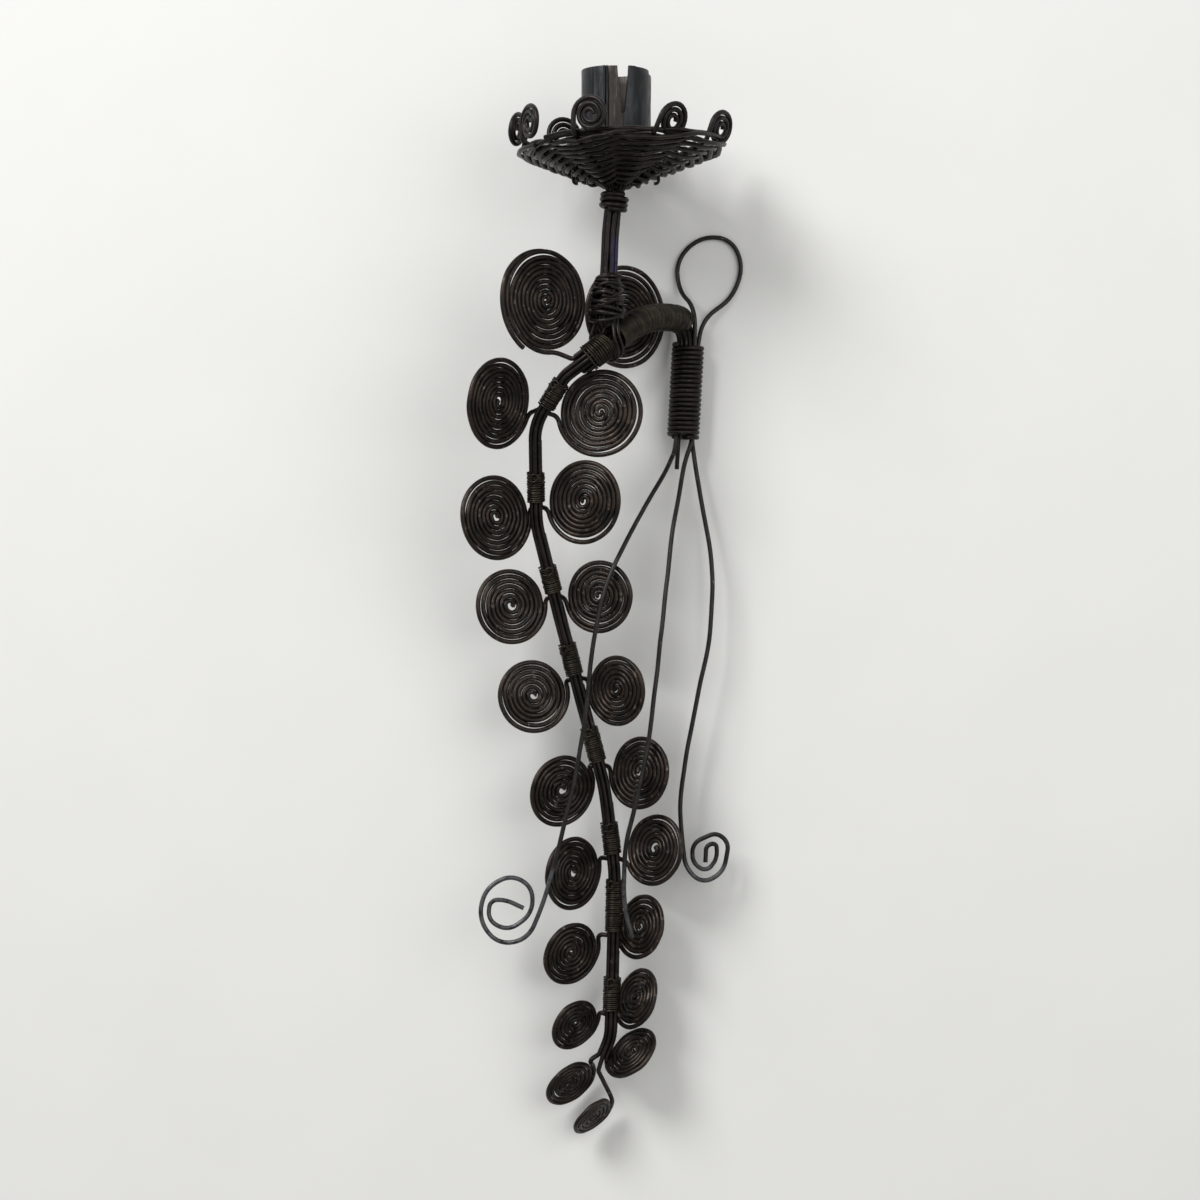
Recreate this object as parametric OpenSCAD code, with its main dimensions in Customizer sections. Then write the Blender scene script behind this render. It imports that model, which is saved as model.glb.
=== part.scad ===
// Wire vine wall sconce for one candle, hung from a wire loop on a nail.
// Everything but the candle cup is bent from soft black wire and bound with fine wire.
// Origin: where the nail bears on the inside of the hanging loop. +Z is up, the wall is
// just behind on the +Y side, and the viewer stands on the -Y side. All sizes are in mm.

/* [Wire] */
// Diameter of the main wire
wire_d = 1.7; // [1.2:0.1:2]
// Diameter of the fine binding wire
fine_d = 0.7; // [0.5:0.05:0.9]
// Diameter of the wire at the neck of the pan
collar_d = 2; // [1.5:0.1:2.4]
// Diameter of the hooks at the cup and of the tie wires under the stem
tie_d = 1.2; // [0.9:0.1:1.4]
// Gap left between wires that lie side by side
lay_gap = 0.05; // [0.04:0.01:0.1]

/* [Leaves] */
// Distance between the turns of a leaf
leaf_pitch = 1.8; // [1.78:0.01:2.2]
// Radius of the innermost half turn of a leaf
leaf_eye_r = 1; // [0.95:0.05:1.5]
// Straight length of the leaf wire before it starts to coil
leaf_lead = 2.5; // [2:0.5:4]

/* [Pan] */
// Candle diameter
candle_d = 22; // [19:0.5:24]
// Clearance all round the candle
candle_gap = 0.15; // [0.1:0.05:0.5]
// Thickness of the inner sheet of the cup
sleeve_wall = 0.6; // [0.4:0.1:1]
// Thickness of the outer sheet of the cup
shell_wall = 0.8; // [0.4:0.1:1.2]
// Height of the cup
cup_h = 35.5; // [25:0.5:45]
// Width of the slot at the top of the cup
slot_top_w = 3.9; // [2:0.1:6]
// Width of the slot at its foot
slot_foot_w = 1; // [0.6:0.1:2]
// Depth of the slot below the top of the cup
slot_depth = 17; // [8:0.5:22]
// Radius of the circle of rib wires in the stem
stem_ring_r = 2.35; // [2.3:0.05:2.8]
// Radius of the pan at the rim
rim_r = 37; // [33:0.5:38]
// Slope of the ribs above the horizontal, in degrees
rib_slope = 23; // [18:1:30]
// Distance between the woven rows along a rib
row_pitch = 3.5; // [3.5:0.1:4.5]
// Radius of the first woven row
first_row_r = 6.5; // [6.2:0.1:9]
// Outer radius of the curls at the rim
curl_r = 6.5; // [5:0.25:7]
// Distance between the turns of a curl
curl_pitch = 2; // [1.8:0.1:2.4]
// Half turns in a curl
curl_half_turns = 5; // [3:1:5]

/* [Bindings] */
// Distance between the turns of a fine binding
fine_pitch = 0.76; // [0.74:0.01:1]
// Turns in the neck collar
collar_turns = 2.5; // [1.5:0.5:3]
// Turns in the knot at the foot of the stem
knot_turns = 7; // [4:0.5:8]
// Turns in the hanger wrap
hanger_turns = 19; // [10:0.5:19]
// Turns in the fine wrap on the arm
arm_turns = 58; // [20:1:58]
// Turns in the wrap at the root of the vine
root_turns = 7; // [4:0.5:9]

/* [Hidden] */
$fn = 32;
wire_r = wire_d / 2;
lay = wire_d + lay_gap;
// Where an arc meets a straight or another arc, it laps into it and is this much thinner all round
joint_lap = 0.1;
joint_skin = 0.02;
// Least straight left on each side of a corner
least_run = 0.2;
// Half turns that are joined at a time
turn_group = 8;
front = [0, -1, 0];
up = [0, 0, 1];

// The hanger: its foot, its lean to the right and the length of its wrap
hanger_foot = [-11.8, -5.5, -75.3];
hanger_lean = 3.2;
hanger_up = [sin(hanger_lean), 0, cos(hanger_lean)];
// The wires end this far above the foot, but for one that hangs below it as a stub
foot_inset = 0.3;
stub_length = 11;
// Tendrils are held in the lower part of the hanger, and the legs of the loop in the upper part
tendril_grip = 16.5;
loop_grip = 18.5;
loop_leg_top = 34.5;

// The arm swings out from the hanger to the spot below the stem
stem_foot_xy = [-40.4, -44];
hanger_length = 34;
hanger_top = hanger_foot + hanger_length * hanger_up;
arm_plan = unit([stem_foot_xy.x - hanger_top.x, stem_foot_xy.y - hanger_top.y, 0]);
arm_out = unit(arm_plan - (arm_plan * hanger_up) * hanger_up);
arm_side = cross(arm_out, hanger_up);
arm_bend_r = 9;

// Control points of the spine, from the hanger over the arm and down the vine.
// Arm points are [out, up] from the foot of the hanger.
arm_top = arm_point([0, 45]);
arm_brow = arm_point([28, 43.5]);
elbow = arm_point([54, 27.5]);
vine = [
    [-55.5, -43.5, -54.5], [-66.3, -38.8, -71.5], [-65.9, -31.5, -107],
    [-57.5, -24, -141], [-49.5, -20, -172], [-41, -16.5, -204],
    [-37.2, -14.5, -236], [-37.8, -12.8, -262], [-38.8, -11.2, -297]
];
vine_bend_r = [12, 20, 40, 100, 300, 80, 60, 300, 20];
vine_end = [-41.8, -10.5, -304.5];
tip_points = [[-43.4, -10, -310], [-42, -10, -319.5]];

// Heights of the bindings 2 to 9 and their turns
binding_z = [-60.8, -94, -127.3, -156.7, -188.2, -223, -248, -281];
binding_turns = [14, 14, 13, 15, 17, 15, 25, 16];
binding_at = [for (i = [0 : len(binding_z) - 1]) at_height(vine[i], vine[i + 1], binding_z[i])];

// The spine: anchors on the straights stand between the corners
root_anchor = (elbow + vine[0]) / 2;
spine = concat(
    [hanger_foot + foot_inset * hanger_up, with_r(arm_top, arm_bend_r)],
    [(arm_top + arm_brow) / 2, arm_brow, (arm_brow + elbow) / 2, elbow, root_anchor],
    [for (i = [0 : len(binding_at) - 1]) each [with_r(vine[i], vine_bend_r[i]), binding_at[i]]],
    [with_r(vine[8], vine_bend_r[8]), vine_end]
);
spine_roll = 52;
spine_n = turned(arm_out, hanger_up, spine_roll);
root_index = 6;

// Distances along the spine: start of the arm wrap, under the stem, and middle of the root wrap
arm_wrap_from = 44.8;
arm_length_at_stem = 92.2;
root_wrap_at = 97.2;

// Slots across a bundle: one at the middle, six round it, then twelve round those
slot_ring = [for (i = [0 : 5]) lay * [cos(60 * i), sin(60 * i)]];
outer_ring = [for (i = [0 : 11]) 2 * lay * [cos(30 * i), sin(30 * i)]];
leaf_slots = [3, 5];
spine_slots = [0, 1, 2];
stub_slot = 4;
bundle_r = lay + wire_r;
arm_r = 2 * lay + wire_r;

// Outer slots in the hanger and arm
left_leaf_slot = 6;
right_leaf_slot = 10;
packing_slots = [5, 7, 8, 9, 11];
loop_slots = [3, 1];
tendril_slots = [10, 2, 3];

// A leaf turns off this far below its binding, with this bend, and the next wire in its slot
// starts this far below that
exit_gap = 0.2;
exit_r = 1.5;
start_gap = 2.5;

// Leaves: [centre, outer diameter, tilt, direction of the tilt axis, entry angle]
left_leaves = [
    [[-62, -47, -28], 38, 40, 92, -85],
    [[-78.75, -45.5, -64], 33.75, 50, 80, -24],
    [[-80.25, -37.5, -104.75], 31.75, 38, 92, 0],
    [[-75, -26.5, -137], 28.5, 25, 95, 0],
    [[-67, -21, -170], 28, 20, 95, 13],
    [[-56.5, -19.5, -204.75], 28.5, 36, 70, 26],
    [[-52.5, -18.5, -235.25], 28.5, 45, 84, 8],
    [[-53, -15, -265.25], 25.5, 39, 65, 15],
    [[-51.5, -14, -291.75], 22, 45, 55, 0],
    [[-53.5, -10, -314], 22, 51, 45, 40]
];
right_leaves = [
    [[-34, -13.5, -30], 38.5, 37, 88, 225],
    [[-43, -40.5, -67.25], 32.5, -15, 80, 193],
    [[-49, -36.5, -99.25], 31.25, -29, 90, 199],
    [[-43.5, -27, -133.5], 27.5, -24, 92, 196],
    [[-37, -23.5, -167.75], 27.25, -39, 96, 177],
    [[-28.5, -20, -198.25], 27.75, -38, 84, 184],
    [[-23, -18, -227], 27, -40, 76, 212],
    [[-28, -13, -256], 24.5, -48, 72, 225],
    [[-29.5, -10.5, -283], 23.5, -55, 65, 236],
    [[-31.5, -14, -302.5], 22.5, -60, 40, 206]
];
tip_leaf = [[-45, -11.5, -326], 19, 62, 45, 20];

// The tendrils: hand-chosen points below the hanger wrap
left_tendril_points = [
    [-15, -9.5, -80], [-20, -18, -90], [-31.5, -29.5, -110], [-41, -35, -129],
    [-45.5, -34.5, -152], [-48.5, -32, -182], [-53, -31, -206], [-59.5, -31, -232],
    [-64, -30.5, -247], [-69, -28.5, -259], [-80, -26.5, -261.5], [-87.5, -26.5, -252],
    [-84.5, -26, -240.5], [-75.5, -25.5, -235.5], [-67.5, -25, -240], [-67.5, -24.5, -250],
    [-76.5, -24.5, -256.5], [-84, -24.5, -252.5], [-83, -24.5, -245], [-77, -24.5, -245],
    [-70.7, -24.5, -248]
];
middle_tendril_points = [
    [-11, -9.5, -82.5], [-13.5, -14, -95], [-17.5, -23, -120], [-20, -27.5, -144],
    [-24, -28, -181], [-29.5, -28, -209], [-34, -27, -227], [-34.3, -24, -246], [-30.6, -21.5, -259]
];
right_tendril_points = [
    [-7.5, -8, -82], [-4.5, -10, -102], [-0.5, -12, -124], [-2, -12.5, -150], [-10, -12.5, -187],
    [-13, -12.5, -208], [-12.5, -12.5, -223], [-11, -12.5, -234.5], [-5, -12.5, -240],
    [3, -12.5, -236], [5, -12.5, -225], [0.5, -12, -221], [-8.5, -11.5, -225], [-8.5, -11, -232.5],
    [-3.5, -11, -236], [0.6, -11, -231], [0.4, -11, -225], [-3.4, -11, -226], [-3.8, -11, -232.3]
];

// The hanging loop: hand-chosen points from its right leg over the nail to its left leg
loop_points = [
    [-4.2, -2.4, -30], [7.2, 0, -21.5], [11, 0, -10], [6.5, 0, wire_r],
    [-6.2, 0, wire_r], [-14.3, 0, -8], [-13, -0.8, -19.5], [-7.6, -9.4, -26]
];

// Stem and pan
pan_xy = [-37, -44];
stem_foot = [stem_foot_xy.x, stem_foot_xy.y, -34.4];
stem_bend = [-38.9, -44, 0];
rib_z = 13.5;
neck = [pan_xy.x, pan_xy.y, rib_z];
neck_bend_r = 4;
rib_count = 8;
rib_phase = 246;
rib_step = 360 / rib_count;
rib_dir = unit([rim_r - stem_ring_r, (rim_r - stem_ring_r) * tan(rib_slope)]);
rib_normal = [-rib_dir.y, rib_dir.x];
bare_rim = 1;
row_count = floor((rim_r - bare_rim - first_row_r) / cos(rib_slope) / row_pitch) + 1;
curl_lean = [0, 22, 36, 34, 10, 5, 0, 5];
curl_rise = 5.6;
rim_bend_r = 2.5;

// The cup stands on a woven row a little inside its own wall
cup_bore_r = candle_d / 2 + candle_gap;
sleeve_r = cup_bore_r + sleeve_wall;
shell_inner_r = sleeve_r + lay_gap;
cup_r = shell_inner_r + shell_wall;
cup_row_inset = 0.7;
cup_row = round((cup_r - first_row_r) / (row_pitch * cos(rib_slope)) - cup_row_inset);
cup_z = inner_row(cup_row).y + wire_r + 2 * lay_gap;
slot_azimuth = -78;
lap_azimuth = -110.5;
lap_tilt = 20;
lap_cut_h = 6;
cut_over = 1;
hook_hole_z = 2.2;
hook_hole_gap = 0.2;
hook_hole_d = tie_d + 2 * hook_hole_gap;

// Vectors
function unit(v) = v / norm(v);
function xyz(p) = [p.x, p.y, p.z];
function with_r(p, r) = [p.x, p.y, p.z, r];
// v turned about the unit axis k by angle a
function turned(v, k, a) = v * cos(a) + cross(k, v) * sin(a) + k * (k * v) * (1 - cos(a));
function at_height(a, b, z) = a + (b - a) * (z - a.z) / (b.z - a.z);
function arm_point(p) = hanger_foot + p.x * arm_out + p.y * hanger_up;

// Paths: anchor, corner, anchor, corner and so on to the last anchor.
// A corner may carry its bend radius as a fourth value, and is otherwise bent as
// gently as its two straights allow.
function anchored(p) = concat([p[0]], [for (i = [1 : len(p) - 2])
    each i < len(p) - 2 ? [p[i], (xyz(p[i]) + xyz(p[i + 1])) / 2] : [p[i]]], [p[len(p) - 1]]);
function run_in(p, i) = unit(xyz(p[i]) - xyz(p[i - 1]));
function run_out(p, i) = unit(xyz(p[i + 1]) - xyz(p[i]));
function bend_angle(p, i) = acos(max(-1, min(1, run_in(p, i) * run_out(p, i))));
no_limit = 100000;
function bend_room(p, i) = min(norm(xyz(p[i]) - xyz(p[i - 1])), norm(xyz(p[i + 1]) - xyz(p[i]))) - least_run;
function bend_r(p, i) = min(bend_room(p, i) / tan(bend_angle(p, i) / 2),
    len(p[i]) > 3 ? p[i][3] : no_limit);
function bend_run(p, i) = bend_r(p, i) * tan(bend_angle(p, i) / 2);
function bend_start(p, i) = xyz(p[i]) - run_in(p, i) * bend_run(p, i);
function bend_end(p, i) = xyz(p[i]) + run_out(p, i) * bend_run(p, i);
// Unit vector from the centre of a bend to its start
function bend_out(p, i) = unit(run_in(p, i) * (run_in(p, i) * run_out(p, i)) - run_out(p, i));

// A normal carried without twist through the corner at i
function carried(n, u, v) = n - (u + v) * (v * n) / (1 + u * v);
function carry_to(p, n, i, k = 1) = k > i ? n : carry_to(p, carried(n, run_in(p, k), run_out(p, k)), i, k + 2);

// The path of a wire that lies beside path p, at offset o across it
function beside(p, n0, o, i = 0, n = undef) = i >= len(p) ? [] :
    let (m = n == undef ? n0 : n)
    i % 2 == 0
    ? let (t = i == 0 ? run_out(p, 0) : run_in(p, i))
        concat([xyz(p[i]) + o.x * m + o.y * cross(t, m)], beside(p, n0, o, i + 1, m))
    : let (
        u = run_in(p, i), v = run_out(p, i), across = o.x * m + o.y * cross(u, m),
        out = bend_out(p, i), reach = across * out, q = xyz(p[i]) + across + u * reach * tan(bend_angle(p, i) / 2)
    ) concat([len(p[i]) > 3 ? with_r(q, p[i][3] + reach) : q], beside(p, n0, o, i + 1, carried(m, u, v)));

function part_of(p, a, b) = [for (i = [a : b]) p[i]];

// Point and direction at distance s along a path
function along(p, s, i = 1) =
    let (
        u = run_in(p, i), v = run_out(p, i), r = bend_r(p, i), t = bend_run(p, i),
        a = norm(xyz(p[i]) - xyz(p[i - 1])) - t, b = norm(xyz(p[i + 1]) - xyz(p[i])) - t,
        w = r * bend_angle(p, i) * PI / 180
    )
    s < a ? [xyz(p[i - 1]) + u * s, u] :
    s < a + w ? let (
            f = (s - a) / r * 180 / PI, e = bend_out(p, i), c = bend_start(p, i) - e * r
        ) [c + r * (e * cos(f) + u * sin(f)), u * cos(f) - e * sin(f)] :
    s <= a + w + b || i + 2 >= len(p) ? [xyz(p[i]) + v * (t + s - a - w), v] :
    along(p, s - a - w - b, i + 2);

// Places children with their X and Y axes along x and y
module placed(at, x, y) {
    z = cross(x, y);
    multmatrix([
        [x.x, y.x, z.x, at.x], [x.y, y.y, z.y, at.y], [x.z, y.z, z.z, at.z], [0, 0, 0, 1]
    ]) children();
}

// An arc of wire that starts at x * r from its centre and sets off along y. It is a hair thinner
// than the straights, and each end reaches a little way into what it joins.
module arc(at, x, y, r, angle, d) {
    over = joint_lap / r * 180 / PI;
    placed(at, x, y)
        rotate([0, 0, -over])
            rotate_extrude(angle = angle + 2 * over, $fn = 48)
                translate([r, 0])
                    circle(d = d - 2 * joint_skin, $fn = 16);
}

// An arc as thick as the straights, which ends where it ends
module full_arc(at, x, y, r, angle, d) {
    placed(at, x, y)
        rotate_extrude(angle = angle, $fn = 48)
            translate([r, 0])
                circle(d = d, $fn = 16);
}

module rod(a, b, d) {
    t = unit(b - a);
    side = abs(t.y) > 0.9 ? [1, 0, 0] : [0, 1, 0];
    x = unit(cross(side, t));
    placed(a, x, cross(t, x))
        cylinder(d = d, h = norm(b - a), $fn = 16);
}

// A bent wire along a path
module wire(p, d = wire_d) {
    last = len(p) - 2;
    for (i = [1 : 2 : last]) {
        u = run_in(p, i);
        out = bend_out(p, i);
        start = bend_start(p, i);
        rod(i == 1 ? xyz(p[0]) : bend_end(p, i - 2), start, d);
        arc(start - out * bend_r(p, i), out, u, bend_r(p, i), bend_angle(p, i), d);
    }
    rod(bend_end(p, last), xyz(p[last + 1]), d);
}

// A flat coil of half turns: x points from its centre to its outer end, y is the way it sets off
module flat_coil(at, x, y, outer_r, half_turns, pitch, d = wire_d) {
    for (k = [0 : half_turns - 1]) {
        centre = at - (k % 2) * pitch / 2 * x;
        r = outer_r - k * pitch / 2;
        if (k % 2 == 0) arc(centre, x, y, r, 180, d);
        else full_arc(centre, -x, -y, r, 180, d);
    }
}

// Half turns from spot to spot, bulging to one side and the other in turn
module half_turns(spots, side, d) {
    for (first = [0 : turn_group : len(spots) - 2])
        union()
            for (k = [first : min(first + turn_group, len(spots) - 1) - 1]) {
                centre = (spots[k] + spots[k + 1]) / 2;
                r = norm(spots[k] - centre);
                x = (spots[k] - centre) / r;
                if (k % 2 == 0) arc(centre, x, side, r, 180, d);
                else full_arc(centre, x, -side, r, 180, d);
            }
}

// A wrap round a path that bends only in the plane square to side, from distance s along it
module wrap(p, side, s, turns, r, pitch, d) {
    half_turns([for (k = [0 : 2 * turns])
        let (q = along(p, s + k * pitch / 2))
        q[0] + (k % 2 == 0 ? r : -r) * cross(side, q[1])], side, d);
}

// A wrap round a straight run, centred on it
module straight_wrap(middle, along_dir, turns, r, pitch, d) {
    side = unit(cross(along_dir, abs(along_dir.y) > 0.7 ? [1, 0, 0] : front));
    half_turns([for (k = [0 : 2 * turns])
        middle + (k - turns) * pitch / 2 * along_dir + (k % 2 == 0 ? r : -r) * cross(side, along_dir)],
        side, d);
}

// Pan: a point on a rib at distance f along its slope from the first row, as [radius, height]
function rib_point(f) = [first_row_r, rib_z + (first_row_r - stem_ring_r) * tan(rib_slope)] + f * rib_dir;
function outer_row(k) = rib_point(k * row_pitch) - lay * rib_normal;
function inner_row(k) = rib_point((k + 0.5) * row_pitch) + lay * rib_normal;
function azimuth(a) = [cos(a), sin(a), 0];

module rib(k) {
    a = rib_phase + k * rib_step;
    out = azimuth(a);
    right = cross(up, out);
    offset = stem_ring_r * out;
    rim = [pan_xy.x, pan_xy.y, rib_z + (rim_r - stem_ring_r) * tan(rib_slope)] + rim_r * out;
    rise = up * cos(curl_lean[k]) + out * sin(curl_lean[k]);
    curl_start = rim + curl_rise * rise;
    coil_r = curl_r - wire_r;
    color("#2a2523") {
        wire([
            stem_foot + offset, stem_bend + offset, (stem_bend + neck) / 2 + offset,
            with_r(neck + offset, neck_bend_r), (neck + offset + rim) / 2, with_r(rim, rim_bend_r), curl_start
        ]);
        flat_coil(curl_start + coil_r * right, -right, rise, coil_r, curl_half_turns, curl_pitch);
    }
}

module pan_weave() {
    color("#241f1d")
        translate([pan_xy.x, pan_xy.y, 0])
            for (k = [0 : row_count - 1]) {
                rotate_extrude($fn = 64)
                    translate(outer_row(k)) circle(d = wire_d, $fn = 16);
                if (k < row_count - 1)
                    rotate_extrude($fn = 64)
                        translate(inner_row(k)) circle(d = wire_d, $fn = 16);
            }
}

module slot_cut() {
    rotate([0, 0, slot_azimuth])
        rotate([90, 0, 90])
            linear_extrude(cup_r + cut_over)
                polygon([
                    [-slot_foot_w / 2, cup_h - slot_depth], [slot_foot_w / 2, cup_h - slot_depth],
                    [slot_top_w / 2, cup_h + cut_over], [-slot_top_w / 2, cup_h + cut_over]
                ]);
}

module hook_holes() {
    translate([-cup_r - 1, 0, hook_hole_z])
        rotate([0, 90, 0])
            cylinder(d = hook_hole_d, h = 2 * cup_r + 2);
}

module in_cup() {
    translate([pan_xy.x, pan_xy.y, cup_z]) children();
}

module candle_sleeve() {
    color("#4a3a30")
        in_cup()
            difference() {
                cylinder(r = sleeve_r, h = cup_h, $fn = 64);
                translate([0, 0, -1]) cylinder(r = cup_bore_r, h = cup_h + 2, $fn = 64);
                slot_cut();
                hook_holes();
            }
}

// The outer sheet stops short of the slot and shows the sleeve beside it
module candle_shell() {
    lap_w = 2 * cup_r;
    color("#2d3138")
        in_cup()
            difference() {
                rotate([0, 0, slot_azimuth])
                    rotate_extrude(angle = 360 + lap_azimuth - slot_azimuth, $fn = 64)
                        translate([shell_inner_r, 0]) square([shell_wall, cup_h]);
                slot_cut();
                hook_holes();
                translate([cup_r, 0, cup_h + cut_over])
                    rotate([0, lap_tilt, 0]) cube([lap_w, 3 * cup_r, lap_cut_h], center = true);
            }
}

// Two hooks hold the cup down. Each goes in through both sheets, and its leg goes down through
// the weave and is bent under a woven row. Their tips stay clear of the candle.
module cup_hooks() {
    z = cup_z + hook_hole_z;
    rows = [inner_row(cup_row + 1), inner_row(cup_row + 2), outer_row(cup_row + 1), outer_row(cup_row + 2)];
    reach = (rows[0].x + rows[1].x + rows[2].x + rows[3].x) / 4;
    foot_z = rows[2].y - wire_r - lay_gap - tie_d / 2;
    color("#302a27")
        translate([pan_xy.x, pan_xy.y, 0])
            for (k = [-1, 1])
                wire([
                    [k * (cup_bore_r + lay_gap), 0, z], with_r([k * reach, 0, z], tie_d),
                    [k * reach, 0, (z + foot_z) / 2], with_r([k * reach, 0, foot_z], tie_d),
                    [k * rows[2].x, 0, foot_z]
                ], tie_d);
}

module stem_core() {
    color("#2a2523")
        wire([stem_foot, stem_bend, neck]);
}

collar_rise = 8.3;
module neck_collar() {
    lean = unit(neck - stem_bend);
    middle = stem_bend + lean * collar_rise;
    color("#2f2926")
        straight_wrap(middle, lean, collar_turns, stem_ring_r + wire_r + collar_d / 2 + lay_gap,
            collar_d + lay_gap, collar_d);
}

// The knot binds the legs of the stem ties. It starts knot_base above the foot of the stem.
knot_base = 2.5;
tie_slack = 0.4;
tie_bend_r = 3;
tie_hip = 3;
tie_reach = arm_r + fine_d + tie_d / 2 + tie_slack;
tie_spread = tie_d;
tie_leg_r = stem_ring_r + wire_r + tie_d / 2 + lay_gap;
knot_r = norm([tie_leg_r, tie_spread]) + tie_d / 2 + wire_r + 2 * lay_gap;
module stem_knot() {
    lean = unit(stem_bend - stem_foot);
    middle = stem_foot + lean * (knot_base + knot_turns * lay / 2);
    color("#2c2725")
        straight_wrap(middle, lean, knot_turns, knot_r, lay, wire_d);
}

// One side of a stem tie, from the stem down past the arm: k is 1 or -1
function tie_side(k, leg_top, shoulder, here, side, down) =
    let (hip = here - tie_hip * down + k * tie_reach * side, foot = here + tie_reach * (down + k * side))
    [
        leg_top + k * tie_leg_r * side, with_r(shoulder + k * tie_leg_r * side, tie_bend_r),
        (shoulder + k * tie_leg_r * side + hip) / 2, with_r(hip, tie_bend_r),
        here - least_run * down + k * tie_reach * side, with_r(foot, tie_reach)
    ];

// Two tie wires pass under the arm and run up both sides of the stem
module stem_ties() {
    lean = unit(stem_bend - stem_foot);
    spot = along(spine, arm_length_at_stem);
    side = unit(arm_side - (arm_side * spot[1]) * spot[1]);
    down = cross(side, spot[1]).z < 0 ? cross(side, spot[1]) : -cross(side, spot[1]);
    color("#302a27")
        for (k = [-1, 1]) {
            here = spot[0] + k * tie_spread * spot[1];
            leg_top = stem_foot + lean * (knot_base + knot_turns * lay) + here - spot[0];
            shoulder = stem_foot + lean * (knot_base - wire_r) + here - spot[0];
            back = tie_side(-1, leg_top, shoulder, here, side, down);
            wire(concat(
                tie_side(1, leg_top, shoulder, here, side, down), [here + tie_reach * down],
                [for (i = [5 : -1 : 0]) back[i]]
            ), tie_d);
        }
}

// The spine from height h above the foot of the hanger to its point at index i
function from_height(h, i) = concat([hanger_foot + h * hanger_up], part_of(spine, 1, i));

module spine_wires() {
    color("#272220") {
        wire(part_of(spine, 0, len(spine) - 3));
        for (i = spine_slots) wire(beside(spine, spine_n, slot_ring[i]));
        for (i = leaf_slots) wire(beside(part_of(spine, 0, root_index), spine_n, slot_ring[i]));
        wire(beside(from_height(-stub_length, len(spine) - 1), spine_n, slot_ring[stub_slot]));
    }
}

module arm_packing() {
    color("#272220")
        for (i = packing_slots)
            wire(beside(part_of(spine, 0, root_index), spine_n, outer_ring[i]));
}

module arm_wrap() {
    color("#33301f")
        wrap(spine, arm_side, arm_wrap_from, arm_turns, arm_r + fine_d / 2 + lay_gap, fine_pitch, fine_d);
}

module root_wrap() {
    elbow_side = unit(cross(run_in(spine, root_index - 1), run_out(spine, root_index - 1)));
    color("#33301f")
        wrap(spine, elbow_side, root_wrap_at - root_turns * fine_pitch / 2, root_turns,
            arm_r + fine_d / 2 + lay_gap, fine_pitch, fine_d);
}

module hanger_wrap() {
    middle = hanger_foot + hanger_up * (wire_r + hanger_turns * lay / 2);
    color("#2c2724")
        straight_wrap(middle, hanger_up, hanger_turns, arm_r + wire_r + lay_gap, lay, wire_d);
}

// A wire bound into the hanger at an outer slot, starting h above its foot
function hanger_slot(i, h) =
    let (o = outer_ring[i])
    hanger_foot + h * hanger_up + o.x * spine_n + o.y * cross(hanger_up, spine_n);

module hanging_loop() {
    right = loop_slots[0];
    left = loop_slots[1];
    color("#2b2826")
        wire(anchored(concat(
            [hanger_slot(right, loop_grip), hanger_slot(right, loop_leg_top)], loop_points,
            [hanger_slot(left, loop_leg_top), hanger_slot(left, loop_grip)]
        )));
}

module tendril(i, points) {
    color("#2e2b2a")
        wire(anchored(concat(
            [hanger_slot(tendril_slots[i], tendril_grip), hanger_slot(tendril_slots[i], 0)], points
        )));
}

module binding(i) {
    dir = unit(vine[i + 1] - vine[i]);
    color("#3a3324")
        straight_wrap(binding_at[i], dir, binding_turns[i], bundle_r + fine_d / 2 + lay_gap,
            fine_pitch, fine_d);
}

// A leaf: its wire follows run, turns off at leave and coils up flat.
// side is 1 on the left of the vine and -1 on the right.
module leaf(side, spec, run, leave) {
    centre = spec[0];
    axis = [cos(spec[3]), 0, sin(spec[3])];
    coil_r = spec[1] / 2 - wire_r;
    half_turns = floor(2 * (coil_r - leaf_eye_r) / leaf_pitch) + 1;
    x = turned([cos(spec[4]), 0, sin(spec[4])], axis, spec[2]);
    y = turned(side * [sin(spec[4]), 0, -cos(spec[4])], axis, spec[2]);
    entry = centre + coil_r * x;
    turn_in = entry - leaf_lead * y;
    color("#2b2421") {
        wire(concat(run, [with_r(leave, exit_r), (leave + turn_in) / 2, turn_in, entry]));
        flat_coil(centre, x, y, coil_r, half_turns, leaf_pitch);
    }
}

// How far below the middle of binding i a leaf turns off
function exit_at(i) = (binding_turns[i] * fine_pitch + fine_d) / 2 + exit_gap + exit_r;

// Wire of leaf i + 2 in its slot, from below the binding above to its own.
// It follows the corner of the vine if there is room above it, and else starts below it.
module vine_leaf(side, i) {
    spec = side == 1 ? left_leaves[i + 1] : right_leaves[i + 1];
    slot = slot_ring[leaf_slots[side == 1 ? 0 : 1]];
    corner = root_index + 1 + 2 * i;
    u = run_in(spine, corner);
    v = run_out(spine, corner);
    start = i == 0 ? lay_gap : exit_at(i - 1) + start_gap;
    room = norm(xyz(spine[corner]) - spine[corner - 1]) - bend_run(spine, corner) - least_run;
    held_at = i < len(binding_at) ? binding_at[i] : (vine[8] + vine_end) / 2;
    held_for = i < len(binding_at) ? exit_at(i) : norm(vine_end - vine[8]) / 2;
    n = carry_to(spine, spine_n, corner);
    across = slot.x * n + slot.y * cross(v, n);
    run = start < room
        ? beside([spine[corner - 1] + start * u, spine[corner], held_at],
            carry_to(spine, spine_n, corner - 2), slot)
        : [bend_end(spine, corner) + across];
    leaf(side, spec, run, held_at + held_for * v + across);
}

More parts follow.
